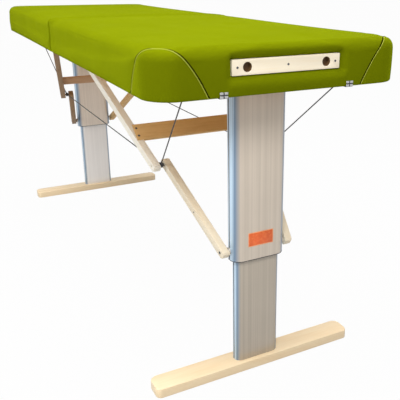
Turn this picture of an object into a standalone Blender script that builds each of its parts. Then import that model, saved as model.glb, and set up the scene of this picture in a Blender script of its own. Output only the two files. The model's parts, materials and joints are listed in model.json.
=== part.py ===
"""Electric massage table: two folding upholstered halves on two telescopic lifting columns.

Metres, +Z up. +X points to the head end, which carries the headrest board. The origin is
on the floor under the middle of the table. Every half, leg and brace is made twice, once for
each end, by the same functions with side = +1 (near, head end) or side = -1 (far end).
"""
import math

import bmesh
import bpy
from mathutils import Matrix, Vector

# Table top
TABLE_LENGTH = 1.98
TABLE_WIDTH = 0.65
UNDERSIDE_HEIGHT = 0.795
CAVITY_DEPTH = 0.0855
DECK_THICKNESS = 0.0042
PAD_THICKNESS = 0.0150
PAD_CROWN = 0.0045
PAD_EDGE_RADIUS = 0.0140
PAD_CORNER_RADIUS = 0.068
PAD_SPLIT_RADIUS = 0.006
PAD_DRAW_IN = 0.0030
PAD_TUCK = 0.0015
PAD_TUCK_HEIGHT = 0.0022
PAD_TUCK_MOST = 0.25
PAD_ROLL_MOST = 0.70
PAD_CROWN_SHARES = (0.15, 0.35, 0.60, 0.85)
PAD_SMOOTH_ANGLE = 50.0
HALVES_GAP = 0.003
RAIL_THICKNESS = 0.014
SIDE_PADDING = 0.005
END_PADDING = 0.0227
SPLIT_PADDING = 0.0062

# Headrest board in the near end
HEADREST_BOARD_WIDTH = 0.278
HEADREST_BOARD_HEIGHT = 0.0345
HEADREST_BOARD_THICKNESS = 0.014
HEADREST_BOARD_CENTRE = 0.0596
HEADREST_HOLE_SPACING = 0.204
HEADREST_HOLE_RADIUS = 0.011

# Lifting column
COLUMN_FROM_END = 0.152
OUTER_WIDTH = 0.156
OUTER_DEPTH = 0.057
INNER_WIDTH = 0.132
INNER_DEPTH = 0.037
COLUMN_WALL = 0.003
BOSS_ROOT_SHARE = 0.33
OUTER_RIM_HEIGHT = 0.334
COLUMN_TOP_ABOVE_AXIS = 0.026
COLUMN_OVERLAP = 0.095
INNER_TOP_PLATE = 0.006
SIDE_GROOVE_WIDTH = 0.006
SIDE_GROOVE_DEPTH = 0.0012
GLIDE_LENGTH = 0.060
HEAD_BLOCK_HEIGHT = 0.040
MOTOR_HEIGHT = 0.078
MOTOR_INSET = 0.004
SPINDLE_RADIUS = 0.006
SPINDLE_REACH = 0.030

# Leg pivot and foot
LEG_AXIS_OFFSET = 0.0105
LEG_AXIS_ABOVE_UNDERSIDE = 0.017
LEG_SHAFT_RADIUS = 0.006
FOOT_SIDE_CLEARANCE = 0.0037
FOOT_WIDTH = 0.0628
FOOT_THICKNESS = 0.0263
FOOT_CORNER_RADIUS = 0.015
FOOT_EDGE_ROUND = 0.003

# Folding braces
STRUT_WIDTH = 0.024
STRUT_THICKNESS = 0.020
STRUT_END_MARGIN = 0.014
STRUT_TOP_MARGIN = 0.009
STRUT_END_CHAMFER = 0.004
BRACE_FOOT_ABOVE_RIM = 0.0253
BRACE_FOOT_FROM_COLUMN = 0.0175
BRACE_TOP_X = 0.135
BRACE_TOP_ABOVE_UNDERSIDE = 0.0715
BRACE_TOP_FROM_RAIL = 0.0157
KNEE_LOWER_Y = 0.149
KNEE_UPPER_Y = 0.184
BRACE_BOSS_RADIUS = 0.009
BOLT_RADIUS = 0.004
BOLT_HEAD_RADIUS = 0.007
BOLT_HEAD_HEIGHT = 0.0035
KNEE_SLEEVE_RADIUS = 0.008
CROSS_BOARD_WIDTH = 0.060
CROSS_BOARD_THICKNESS = 0.007
CROSS_BOARD_FROM_KNEE = 0.118
CROSS_BOARD_OVERLAP = 0.012

# Steel cables
CABLE_RADIUS = 0.0015
END_CABLE_FROM_RAIL = 0.0837
END_CABLE_ABOVE_UNDERSIDE = 0.046

# Centre hinge
HINGE_LENGTH = 0.40
HINGE_KNUCKLES = 5
HINGE_LEAF_THICKNESS = 0.002
HINGE_LEAF_INNER_EDGE = 0.006
HINGE_KNUCKLE_RADIUS = 0.0045
HINGE_PIN_RADIUS = 0.0022
HINGE_NOTCH = 0.0075

# Control box under the near deck
CONTROL_BOX_LENGTH = 0.100
CONTROL_BOX_WIDTH = 0.150
CONTROL_BOX_HEIGHT = 0.045
CONTROL_BOX_EDGE = 0.004
CONTROL_BOX_FROM_COLUMN = 0.052
CONTROL_BOX_FROM_RAIL = 0.0187

# Clearances, and how far a cutter runs past the face it opens
FIT_GAP = 0.0003
RUNNING_GAP = 0.0004
KNUCKLE_END_GAP = 0.0005
CUT_PAST = 0.01

# Facets of the round shapes, and the drawn size of a joint's axis
ARC_STEPS = 6
ROLL_STEPS = 4
SIDE_STEPS = 6
ROUND_SIDES = 16
CABLE_SIDES = 8
AXIS_DRAWN_SIZE = 0.05

# Places and heights that follow from the sizes above
HALF_INNER_X = HALVES_GAP / 2
HALF_OUTER_X = TABLE_LENGTH / 2
RAIL_INNER_X = HALF_INNER_X + SPLIT_PADDING + FIT_GAP
RAIL_OUTER_X = HALF_OUTER_X - END_PADDING - FIT_GAP
RAIL_OUTER_Y = TABLE_WIDTH / 2 - SIDE_PADDING - FIT_GAP
RAIL_INNER_Y = RAIL_OUTER_Y - RAIL_THICKNESS
END_RAIL_INNER_X = RAIL_OUTER_X - RAIL_THICKNESS
RAIL_CORNER_RADIUS = PAD_CORNER_RADIUS - END_PADDING - FIT_GAP
RAIL_CORNER_X = RAIL_OUTER_X - RAIL_CORNER_RADIUS
COLUMN_CENTRE = HALF_OUTER_X - COLUMN_FROM_END
FOOT_LENGTH = 2 * (RAIL_INNER_Y - FOOT_SIDE_CLEARANCE)
BRACE_FOOT_HEIGHT = OUTER_RIM_HEIGHT + BRACE_FOOT_ABOVE_RIM
BRACE_FOOT_Y = OUTER_WIDTH / 2 + BRACE_FOOT_FROM_COLUMN
BRACE_TOP_Y = RAIL_INNER_Y - BRACE_TOP_FROM_RAIL
END_CABLE_Y = RAIL_INNER_Y - END_CABLE_FROM_RAIL
CONTROL_BOX_CENTRE_X = COLUMN_CENTRE - CONTROL_BOX_FROM_COLUMN
CONTROL_BOX_CENTRE_Y = RAIL_INNER_Y - CONTROL_BOX_FROM_RAIL - CONTROL_BOX_WIDTH / 2
LEG_AXIS_HEIGHT = UNDERSIDE_HEIGHT + LEG_AXIS_ABOVE_UNDERSIDE
LEG_AXIS_X = COLUMN_CENTRE + LEG_AXIS_OFFSET
BRACE_TOP_HEIGHT = UNDERSIDE_HEIGHT + BRACE_TOP_ABOVE_UNDERSIDE
COLUMN_TOP = LEG_AXIS_HEIGHT + COLUMN_TOP_ABOVE_AXIS
HINGE_HEIGHT = UNDERSIDE_HEIGHT - HINGE_LEAF_THICKNESS - 2 * FIT_GAP
RAIL_TOP = UNDERSIDE_HEIGHT + CAVITY_DEPTH
DECK_BOTTOM = RAIL_TOP + FIT_GAP
DECK_TOP = DECK_BOTTOM + DECK_THICKNESS
PAD_BOTTOM = DECK_TOP + FIT_GAP
PAD_EDGE_TOP = PAD_BOTTOM + PAD_THICKNESS
HEADREST_HEIGHT = UNDERSIDE_HEIGHT + HEADREST_BOARD_CENTRE
INNER_TOP = OUTER_RIM_HEIGHT + COLUMN_OVERLAP
INNER_BOTTOM = FOOT_THICKNESS + FIT_GAP
HEAD_BOTTOM = COLUMN_TOP - HEAD_BLOCK_HEIGHT
MOTOR_BOTTOM = HEAD_BOTTOM - FIT_GAP - MOTOR_HEIGHT

FINISHES = {
    "vinyl": ((0.42, 0.55, 0.02), 0.45, 0.0),
    "birch": ((0.72, 0.53, 0.33), 0.55, 0.0),
    "plywood": ((0.60, 0.36, 0.17), 0.60, 0.0),
    "aluminium": ((0.62, 0.60, 0.57), 0.38, 1.0),
    "steel": ((0.45, 0.45, 0.46), 0.35, 1.0),
    "dark_steel": ((0.10, 0.10, 0.11), 0.45, 1.0),
    "plastic": ((0.05, 0.05, 0.055), 0.50, 0.0),
}

ENDS = (("near", 1), ("far", -1))
HANDS = (("left", -1), ("right", 1))


def clear_scene():
    for item in list(bpy.data.objects):
        bpy.data.objects.remove(item, do_unlink=True)


def make_material(name, finish):
    colour, roughness, metallic = FINISHES[finish]
    material = bpy.data.materials.new(name)
    material.use_nodes = True
    shader = material.node_tree.nodes["Principled BSDF"]
    shader.inputs["Base Color"].default_value = (*colour, 1.0)
    shader.inputs["Roughness"].default_value = roughness
    shader.inputs["Metallic"].default_value = metallic
    return material


def make_axis(name, position):
    """Return an empty that stands on a joint's axis and carries the pieces that turn on it."""
    axis = bpy.data.objects.new(name, None)
    axis.empty_display_size = AXIS_DRAWN_SIZE
    axis.location = position
    bpy.context.scene.collection.objects.link(axis)
    return axis


def make_piece(name, mesh, finish=None, axis=None):
    """Turn a bmesh in world coordinates into a named object carried by an axis empty."""
    bmesh.ops.recalc_face_normals(mesh, faces=mesh.faces)
    origin = Vector(axis.location) if axis else Vector()
    bmesh.ops.translate(mesh, vec=-origin, verts=mesh.verts)
    data = bpy.data.meshes.new(name)
    mesh.to_mesh(data)
    mesh.free()
    piece = bpy.data.objects.new(name, data)
    bpy.context.scene.collection.objects.link(piece)
    if axis:
        piece.parent = axis
    if finish:
        data.materials.append(make_material(name, finish))
    return piece


def combine(piece, tool_mesh, operation="DIFFERENCE"):
    """Cut a piece with a bmesh in world coordinates, or join the two, and drop the tool."""
    tool = make_piece(piece.name + "_tool", tool_mesh)
    modifier = piece.modifiers.new("combine", "BOOLEAN")
    modifier.operation = operation
    modifier.solver = "EXACT"
    modifier.object = tool
    bpy.context.view_layer.update()
    graph = bpy.context.evaluated_depsgraph_get()
    result = bpy.data.meshes.new_from_object(piece.evaluated_get(graph))
    piece.modifiers.remove(modifier)
    piece.data = result
    bpy.data.objects.remove(tool, do_unlink=True)


def smooth(piece, angle=35.0):
    piece.data.shade_smooth()
    piece.data.set_sharp_from_angle(angle=math.radians(angle))


def box_mesh(low, high, edge=0.0):
    """Return a box between two corners, in any order, with optional bevelled edges."""
    mesh = bmesh.new()
    bmesh.ops.create_cube(mesh, size=1.0)
    size = [abs(b - a) for a, b in zip(low, high)]
    centre = [(a + b) / 2 for a, b in zip(low, high)]
    bmesh.ops.transform(mesh, matrix=Matrix.Diagonal((*size, 1.0)), verts=mesh.verts)
    bmesh.ops.translate(mesh, vec=centre, verts=mesh.verts)
    if edge:
        bmesh.ops.bevel(mesh, geom=mesh.edges, offset=edge, segments=1, affect="EDGES", profile=0.5)
    return mesh


def prism_mesh(outline, place_low, place_high):
    """Extrude a closed outline between two placing functions, each from (u, v) to a point."""
    mesh = bmesh.new()
    low = [mesh.verts.new(place_low(u, v)) for u, v in outline]
    high = [mesh.verts.new(place_high(u, v)) for u, v in outline]
    count = len(outline)
    for index in range(count):
        after = (index + 1) % count
        mesh.faces.new((low[index], low[after], high[after], high[index]))
    mesh.faces.new(low)
    mesh.faces.new(high)
    return mesh


def upright_prism(outline, bottom, top):
    return prism_mesh(outline, lambda x, y: (x, y, bottom), lambda x, y: (x, y, top))


def turned_mesh(centre_x, centre_z, profile, sides=ROUND_SIDES):
    """Turn a stepped profile of (y, radius) pairs about an axis along Y."""
    mesh = bmesh.new()
    rings = []
    for y, radius in profile:
        ring = []
        for step in range(sides):
            angle = 2 * math.pi * step / sides
            x = centre_x + radius * math.cos(angle)
            z = centre_z + radius * math.sin(angle)
            ring.append(mesh.verts.new((x, y, z)))
        rings.append(ring)
    for first, second in zip(rings, rings[1:]):
        for step in range(sides):
            after = (step + 1) % sides
            mesh.faces.new((first[step], first[after], second[after], second[step]))
    mesh.faces.new(rings[0])
    mesh.faces.new(rings[-1])
    return mesh


def pin_mesh(centre_x, centre_z, y_from, y_to, radius, sides=ROUND_SIDES):
    return turned_mesh(centre_x, centre_z, ((y_from, radius), (y_to, radius)), sides)


def rod_mesh(start, end, radius, sides):
    """Return a straight round rod between two points."""
    mesh = bmesh.new()
    start = Vector(start)
    run = Vector(end) - start
    radii = {"radius1": radius, "radius2": radius}
    bmesh.ops.create_cone(mesh, cap_ends=True, segments=sides, depth=run.length, **radii)
    turn = run.to_track_quat("Z", "Y").to_matrix().to_4x4()
    bmesh.ops.transform(mesh, matrix=Matrix.Translation(start + run / 2) @ turn, verts=mesh.verts)
    return mesh


def rounded_outline(low, high, radii, steps=ARC_STEPS):
    """Return a rectangle with one radius for each corner: low-low, high-low, high-high, low-high.

    A corner of no radius is one point.
    """
    corners = (
        (low[0], low[1], 1, 1, 180),
        (high[0], low[1], -1, 1, 270),
        (high[0], high[1], -1, -1, 0),
        (low[0], high[1], 1, -1, 90),
    )
    points = []
    for (x, y, inward_x, inward_y, start), radius in zip(corners, radii):
        corner_points = steps + 1 if radius else 1
        for step in range(corner_points):
            angle = math.radians(start + 90 * step / steps)
            u = x + inward_x * radius + radius * math.cos(angle)
            v = y + inward_y * radius + radius * math.sin(angle)
            points.append((u, v))
    return points


def stadium_outline(centre_x, width, depth, steps=2 * ARC_STEPS):
    """Return the column's section: flat front and back, half-round sides, seen from above."""
    radius = depth / 2
    points = []
    for middle_y, start in ((width / 2 - radius, 0), (radius - width / 2, 180)):
        for step in range(steps + 1):
            angle = math.radians(start + 180 * step / steps)
            points.append((centre_x + radius * math.cos(angle), middle_y + radius * math.sin(angle)))
    return points


def half_outline(side, inset, radius_cut=0.0):
    """Return a half's outline from above, with sides drawn in between the corners."""
    low = (HALF_INNER_X + inset, inset - TABLE_WIDTH / 2)
    high = (HALF_OUTER_X - inset, TABLE_WIDTH / 2 - inset)
    outer = max(PAD_CORNER_RADIUS - radius_cut, PAD_SPLIT_RADIUS / 2)
    inner = max(PAD_SPLIT_RADIUS - radius_cut, PAD_SPLIT_RADIUS / 2)
    points = rounded_outline(low, high, (inner, outer, outer, inner))
    drawn = []
    count = len(points)
    for index, (x, y) in enumerate(points):
        after = points[(index + 1) % count]
        drawn.append((side * x, y))
        inside_corner = (index + 1) % (ARC_STEPS + 1)
        if inside_corner:
            continue
        for step in range(1, SIDE_STEPS):
            share = step / SIDE_STEPS
            u = x + (after[0] - x) * share
            v = y + (after[1] - y) * share
            pull = PAD_DRAW_IN * math.sin(math.pi * share)
            along_length = abs(after[0] - x) > abs(after[1] - y)
            if along_length:
                v -= math.copysign(pull, v)
            elif u > TABLE_LENGTH / 4:
                u -= pull
            drawn.append((side * u, v))
    return drawn


def make_pad(name, side, axis):
    """Make the soft top: drawn-in sides, a rolled edge and a low crown."""
    tuck_height = min(PAD_TUCK_HEIGHT, PAD_THICKNESS * PAD_TUCK_MOST)
    roll_height = min(PAD_EDGE_RADIUS, PAD_THICKNESS * PAD_ROLL_MOST)
    levels = [(PAD_TUCK, PAD_BOTTOM), (0.0, PAD_BOTTOM + tuck_height)]
    for step in range(ROLL_STEPS + 1):
        angle = math.radians(90 * step / ROLL_STEPS)
        inset = PAD_EDGE_RADIUS * (1 - math.cos(angle))
        levels.append((inset, PAD_EDGE_TOP - roll_height * (1 - math.sin(angle))))
    crown_span = TABLE_WIDTH / 2 - PAD_EDGE_RADIUS
    for share in PAD_CROWN_SHARES:
        rise = PAD_CROWN * math.sin(math.radians(90 * share))
        levels.append((PAD_EDGE_RADIUS + crown_span * share, PAD_EDGE_TOP + rise))
    mesh = bmesh.new()
    rings = []
    for inset, height in levels:
        outline = half_outline(side, inset, inset)
        rings.append([mesh.verts.new((x, y, height)) for x, y in outline])
    for first, second in zip(rings, rings[1:]):
        count = len(first)
        for index in range(count):
            after = (index + 1) % count
            mesh.faces.new((first[index], first[after], second[after], second[index]))
    mesh.faces.new(rings[0])
    mesh.faces.new(rings[-1])
    pad = make_piece(name, mesh, "vinyl", axis)
    smooth(pad, PAD_SMOOTH_ANGLE)


def rail_outline(side, grow=0.0):
    """Return the outline of a half's rails from above, rounded at the table's outer corners."""
    low = (RAIL_INNER_X - grow, -RAIL_OUTER_Y - grow)
    high = (RAIL_OUTER_X + grow, RAIL_OUTER_Y + grow)
    corner = RAIL_CORNER_RADIUS + grow
    return [(side * x, y) for x, y in rounded_outline(low, high, (0.0, corner, corner, 0.0))]


def end_rail_outline(side):
    """Return the end rail from above: a board bent round both corners to meet the side rails."""
    corner = RAIL_CORNER_RADIUS
    bend = RAIL_CORNER_RADIUS - RAIL_THICKNESS
    outer = rounded_outline(
        (RAIL_CORNER_X, -RAIL_OUTER_Y), (RAIL_OUTER_X, RAIL_OUTER_Y), (0.0, corner, corner, 0.0)
    )
    inner = rounded_outline(
        (RAIL_CORNER_X, -RAIL_INNER_Y), (END_RAIL_INNER_X, RAIL_INNER_Y), (0.0, bend, bend, 0.0)
    )
    return [(side * x, y) for x, y in outer + inner[::-1]]


def make_skirt(name, side, axis):
    """Make the padded band round the rails, open above and below, with room for the hinge."""
    band = upright_prism(half_outline(side, 0.0), UNDERSIDE_HEIGHT, DECK_TOP)
    skirt = make_piece(name, band, "vinyl", axis)
    inside = rail_outline(side, FIT_GAP)
    combine(skirt, upright_prism(inside, UNDERSIDE_HEIGHT - CUT_PAST, DECK_TOP + CUT_PAST))
    notch_half = HINGE_LENGTH / 2 + FIT_GAP
    notch_low = (-RAIL_INNER_X, -notch_half, UNDERSIDE_HEIGHT - CUT_PAST)
    notch_high = (RAIL_INNER_X, notch_half, UNDERSIDE_HEIGHT + HINGE_NOTCH)
    combine(skirt, box_mesh(notch_low, notch_high))
    if side > 0:
        half_width = HEADREST_BOARD_WIDTH / 2 + FIT_GAP
        half_height = HEADREST_BOARD_HEIGHT / 2 + FIT_GAP
        window_low = (RAIL_OUTER_X - CUT_PAST, -half_width, HEADREST_HEIGHT - half_height)
        window_high = (HALF_OUTER_X + CUT_PAST, half_width, HEADREST_HEIGHT + half_height)
        combine(skirt, box_mesh(window_low, window_high))
    smooth(skirt)


def headrest_hole(hand, radius):
    """Return a cutter along X for one of the two headrest sockets."""
    y = hand * HEADREST_HOLE_SPACING / 2
    start = (END_RAIL_INNER_X - CUT_PAST, y, HEADREST_HEIGHT)
    end = (HALF_OUTER_X + CUT_PAST, y, HEADREST_HEIGHT)
    return rod_mesh(start, end, radius, ROUND_SIDES)


def make_half(prefix, side, axis):
    """Make one half of the top: pad, skirt, deck, rails, leg shaft and brace bolts."""
    make_pad(prefix + "_pad", side, axis)
    make_skirt(prefix + "_skirt", side, axis)
    make_piece(prefix + "_deck", upright_prism(rail_outline(side), DECK_BOTTOM, DECK_TOP), "plywood", axis)

    centre_low = (side * RAIL_INNER_X, -RAIL_OUTER_Y, UNDERSIDE_HEIGHT)
    centre_high = (side * (RAIL_INNER_X + RAIL_THICKNESS), RAIL_OUTER_Y, RAIL_TOP)
    centre_rail = make_piece(prefix + "_centre_rail", box_mesh(centre_low, centre_high), "plywood", axis)
    notch_half = HINGE_LENGTH / 2 + FIT_GAP
    notch_low = (-RAIL_INNER_X - FIT_GAP, -notch_half, UNDERSIDE_HEIGHT - HINGE_NOTCH)
    notch_high = (RAIL_INNER_X + FIT_GAP, notch_half, UNDERSIDE_HEIGHT + HINGE_NOTCH)
    combine(centre_rail, box_mesh(notch_low, notch_high))

    end_mesh = upright_prism(end_rail_outline(side), UNDERSIDE_HEIGHT, RAIL_TOP)
    end_rail = make_piece(prefix + "_end_rail", end_mesh, "plywood", axis)
    if side > 0:
        for _, hand in HANDS:
            combine(end_rail, headrest_hole(hand, HEADREST_HOLE_RADIUS))
    smooth(end_rail)

    rail_from = side * (RAIL_INNER_X + RAIL_THICKNESS + FIT_GAP)
    rail_to = side * (RAIL_CORNER_X - FIT_GAP)
    for hand_name, hand in HANDS:
        rail_low = (rail_from, hand * RAIL_INNER_Y, UNDERSIDE_HEIGHT)
        rail_high = (rail_to, hand * RAIL_OUTER_Y, RAIL_TOP)
        rail = make_piece(f"{prefix}_side_rail_{hand_name}", box_mesh(rail_low, rail_high), "plywood", axis)
        hole_from = hand * (RAIL_INNER_Y - CUT_PAST)
        hole_to = hand * (RAIL_OUTER_Y + CUT_PAST)
        shaft_hole = LEG_SHAFT_RADIUS + RUNNING_GAP
        bolt_hole = BOLT_RADIUS + RUNNING_GAP
        combine(rail, pin_mesh(side * LEG_AXIS_X, LEG_AXIS_HEIGHT, hole_from, hole_to, shaft_hole))
        combine(rail, pin_mesh(side * BRACE_TOP_X, BRACE_TOP_HEIGHT, hole_from, hole_to, bolt_hole))
        make_brace_bolt(f"{prefix}_brace_bolt_{hand_name}", side, hand, axis)

    shaft = pin_mesh(side * LEG_AXIS_X, LEG_AXIS_HEIGHT, -RAIL_OUTER_Y, RAIL_OUTER_Y, LEG_SHAFT_RADIUS)
    smooth(make_piece(prefix + "_leg_shaft", shaft, "steel", axis))


def make_brace_bolt(name, side, hand, axis):
    """Make the shouldered bolt that carries the top of an upper strut on its side rail."""
    slant = strut_slant(KNEE_UPPER_Y, BRACE_TOP_Y, UPPER_LENGTH) * BOLT_HEAD_RADIUS
    half_thickness = STRUT_THICKNESS / 2
    strut_inner = BRACE_TOP_Y - half_thickness - slant - FIT_GAP
    strut_outer = BRACE_TOP_Y + half_thickness + slant + FIT_GAP
    profile = (
        (strut_inner - BOLT_HEAD_HEIGHT, BOLT_HEAD_RADIUS),
        (strut_inner, BOLT_HEAD_RADIUS),
        (strut_inner, BOLT_RADIUS),
        (strut_outer, BOLT_RADIUS),
        (strut_outer, BOLT_HEAD_RADIUS),
        (RAIL_INNER_Y - FIT_GAP, BOLT_HEAD_RADIUS),
        (RAIL_INNER_Y - FIT_GAP, BOLT_RADIUS),
        (RAIL_OUTER_Y, BOLT_RADIUS),
    )
    placed = [(hand * y, radius) for y, radius in profile]
    smooth(make_piece(name, turned_mesh(side * BRACE_TOP_X, BRACE_TOP_HEIGHT, placed), "steel", axis))


def make_headrest_board(axis):
    """Make the birch board let into the near end, with two sockets for a headrest's posts."""
    low = (RAIL_OUTER_X + FIT_GAP, -HEADREST_BOARD_WIDTH / 2, HEADREST_HEIGHT - HEADREST_BOARD_HEIGHT / 2)
    high = (
        RAIL_OUTER_X + FIT_GAP + HEADREST_BOARD_THICKNESS,
        HEADREST_BOARD_WIDTH / 2,
        HEADREST_HEIGHT + HEADREST_BOARD_HEIGHT / 2,
    )
    board = make_piece("headrest_board", box_mesh(low, high), "birch", axis)
    for _, hand in HANDS:
        combine(board, headrest_hole(hand, HEADREST_HOLE_RADIUS))


def make_control_box(axis):
    """Make the drive's control box, hung under the near deck beside the column."""
    half_length = CONTROL_BOX_LENGTH / 2
    half_width = CONTROL_BOX_WIDTH / 2
    top = RAIL_TOP
    low = (CONTROL_BOX_CENTRE_X - half_length, CONTROL_BOX_CENTRE_Y - half_width, top - CONTROL_BOX_HEIGHT)
    high = (CONTROL_BOX_CENTRE_X + half_length, CONTROL_BOX_CENTRE_Y + half_width, top)
    make_piece("control_box", box_mesh(low, high, CONTROL_BOX_EDGE), "plastic", axis)


def make_hinge(near_axis, far_axis):
    """Make the long hinge under the split: two leaves with alternate knuckles and one pin."""
    pitch = HINGE_LENGTH / HINGE_KNUCKLES
    for name, side, first, axis in (("near", 1, 0, near_axis), ("far", -1, 1, far_axis)):
        plate_low = (side * HINGE_LEAF_INNER_EDGE, -HINGE_LENGTH / 2, HINGE_HEIGHT + FIT_GAP)
        plate_outer = RAIL_INNER_X + RAIL_THICKNESS
        plate_high = (side * plate_outer, HINGE_LENGTH / 2, UNDERSIDE_HEIGHT - FIT_GAP)
        leaf = make_piece("centre_hinge_leaf_" + name, box_mesh(plate_low, plate_high), "steel", axis)
        for knuckle in range(first, HINGE_KNUCKLES, 2):
            y_from = -HINGE_LENGTH / 2 + knuckle * pitch + KNUCKLE_END_GAP
            y_to = y_from + pitch - 2 * KNUCKLE_END_GAP
            web_low = (0.0, y_from, HINGE_HEIGHT + FIT_GAP)
            web_outer = HINGE_LEAF_INNER_EDGE + RAIL_THICKNESS / 2
            web_high = (side * web_outer, y_to, UNDERSIDE_HEIGHT - FIT_GAP)
            combine(leaf, box_mesh(web_low, web_high), "UNION")
            combine(leaf, pin_mesh(0.0, HINGE_HEIGHT, y_from, y_to, HINGE_KNUCKLE_RADIUS), "UNION")
        bore_end = HINGE_LENGTH / 2 + CUT_PAST
        combine(leaf, pin_mesh(0.0, HINGE_HEIGHT, -bore_end, bore_end, HINGE_PIN_RADIUS + RUNNING_GAP))
    pin = pin_mesh(0.0, HINGE_HEIGHT, -HINGE_LENGTH / 2, HINGE_LENGTH / 2, HINGE_PIN_RADIUS)
    smooth(make_piece("centre_hinge_pin", pin, "steel", near_axis))


def column_prism(side, width, depth, bottom, top):
    return upright_prism(stadium_outline(side * COLUMN_CENTRE, width, depth), bottom, top)


def cut_side_grooves(column, side, width, bottom, top):
    """Cut the shallow groove down the middle of each half-round side."""
    for _, hand in HANDS:
        centre = side * COLUMN_CENTRE
        groove_floor = hand * (width / 2 - SIDE_GROOVE_DEPTH)
        low = (centre - SIDE_GROOVE_WIDTH / 2, groove_floor, bottom - CUT_PAST)
        high = (centre + SIDE_GROOVE_WIDTH / 2, hand * (width / 2 + CUT_PAST), top + CUT_PAST)
        combine(column, box_mesh(low, high))


def make_outer_column(name, side, axis):
    """Make the upper profile with a boss on each side, against which a brace's foot turns."""
    column = make_piece(
        name, column_prism(side, OUTER_WIDTH, OUTER_DEPTH, OUTER_RIM_HEIGHT, COLUMN_TOP), "aluminium", axis
    )
    cavity = column_prism(
        side,
        OUTER_WIDTH - 2 * COLUMN_WALL,
        OUTER_DEPTH - 2 * COLUMN_WALL,
        OUTER_RIM_HEIGHT - CUT_PAST,
        COLUMN_TOP + CUT_PAST,
    )
    combine(column, cavity)
    cut_side_grooves(column, side, OUTER_WIDTH, OUTER_RIM_HEIGHT, COLUMN_TOP)
    half = OUTER_WIDTH / 2
    shaft_hole = LEG_SHAFT_RADIUS + RUNNING_GAP
    hole_end = half + CUT_PAST
    combine(column, pin_mesh(side * LEG_AXIS_X, LEG_AXIS_HEIGHT, -hole_end, hole_end, shaft_hole))
    strut_end = max(STRUT_END_MARGIN, BRACE_BOSS_RADIUS)
    slant = strut_slant(BRACE_FOOT_Y, KNEE_LOWER_Y, LOWER_LENGTH) * strut_end
    boss_end = BRACE_FOOT_Y - STRUT_THICKNESS / 2 - slant - FIT_GAP
    boss_root = half - SIDE_GROOVE_DEPTH - COLUMN_WALL * BOSS_ROOT_SHARE
    for _, hand in HANDS:
        profile = (
            (hand * boss_root, BRACE_BOSS_RADIUS / 2),
            (hand * half, BRACE_BOSS_RADIUS),
            (hand * boss_end, BRACE_BOSS_RADIUS),
        )
        combine(column, turned_mesh(side * COLUMN_CENTRE, BRACE_FOOT_HEIGHT, profile), "UNION")
    smooth(column)


def make_inner_column(name, side, axis):
    """Make the lower profile, open below, with a threaded plate at its top for the spindle."""
    column = make_piece(
        name, column_prism(side, INNER_WIDTH, INNER_DEPTH, INNER_BOTTOM, INNER_TOP), "aluminium", axis
    )
    cavity = column_prism(
        side,
        INNER_WIDTH - 2 * COLUMN_WALL,
        INNER_DEPTH - 2 * COLUMN_WALL,
        INNER_BOTTOM - CUT_PAST,
        INNER_TOP - INNER_TOP_PLATE,
    )
    combine(column, cavity)
    cut_side_grooves(column, side, INNER_WIDTH, INNER_BOTTOM, INNER_TOP)
    low = (side * COLUMN_CENTRE, 0.0, INNER_TOP - 2 * INNER_TOP_PLATE)
    high = (side * COLUMN_CENTRE, 0.0, INNER_TOP + INNER_TOP_PLATE)
    combine(column, rod_mesh(low, high, SPINDLE_RADIUS + RUNNING_GAP, ROUND_SIDES))
    smooth(column)


def make_column_insides(prefix, side, axis):
    """Make what the upper profile holds: head block, motor, spindle and the guide at its rim."""
    gap = 2 * (COLUMN_WALL + FIT_GAP)
    head = make_piece(
        prefix + "_column_head",
        column_prism(side, OUTER_WIDTH - gap, OUTER_DEPTH - gap, HEAD_BOTTOM, COLUMN_TOP),
        "plastic",
        axis,
    )
    shaft_hole = LEG_SHAFT_RADIUS + RUNNING_GAP
    combine(head, pin_mesh(side * LEG_AXIS_X, LEG_AXIS_HEIGHT, -OUTER_WIDTH, OUTER_WIDTH, shaft_hole))
    smooth(head)

    motor_gap = gap + 2 * MOTOR_INSET
    motor_top = HEAD_BOTTOM - FIT_GAP
    motor = column_prism(side, OUTER_WIDTH - motor_gap, OUTER_DEPTH - motor_gap, MOTOR_BOTTOM, motor_top)
    smooth(make_piece(prefix + "_motor", motor, "plastic", axis))

    top = (side * COLUMN_CENTRE, 0.0, MOTOR_BOTTOM - FIT_GAP)
    bottom = (side * COLUMN_CENTRE, 0.0, INNER_TOP - INNER_TOP_PLATE - SPINDLE_REACH)
    spindle = rod_mesh(bottom, top, SPINDLE_RADIUS, ROUND_SIDES)
    smooth(make_piece(prefix + "_spindle", spindle, "steel", axis))

    guide_top = OUTER_RIM_HEIGHT + GLIDE_LENGTH
    guide = make_piece(
        prefix + "_guide",
        column_prism(side, OUTER_WIDTH - gap, OUTER_DEPTH - gap, OUTER_RIM_HEIGHT, guide_top),
        "plastic",
        axis,
    )
    passage = column_prism(
        side,
        INNER_WIDTH + 2 * RUNNING_GAP,
        INNER_DEPTH + 2 * RUNNING_GAP,
        OUTER_RIM_HEIGHT - CUT_PAST,
        guide_top + CUT_PAST,
    )
    combine(guide, passage)
    smooth(guide)


def make_foot_bar(name, side, axis):
    """Make the wooden foot with rounded ends and softened edges."""
    centre = side * COLUMN_CENTRE
    low = (centre - FOOT_WIDTH / 2, -FOOT_LENGTH / 2)
    high = (centre + FOOT_WIDTH / 2, FOOT_LENGTH / 2)
    outline = rounded_outline(low, high, (FOOT_CORNER_RADIUS,) * 4)
    mesh = upright_prism(outline, 0.0, FOOT_THICKNESS)
    top_edges = [edge for edge in mesh.edges if min(vert.co.z for vert in edge.verts) > FOOT_THICKNESS / 2]
    bmesh.ops.bevel(mesh, geom=top_edges, offset=FOOT_EDGE_ROUND, segments=2, affect="EDGES", profile=0.5)
    smooth(make_piece(name, mesh, "birch", axis))


def strut_slant(y_start, y_end, length):
    """Return how far a strut's faces lean outwards per metre of its length."""
    return abs(y_end - y_start) / length


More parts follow.
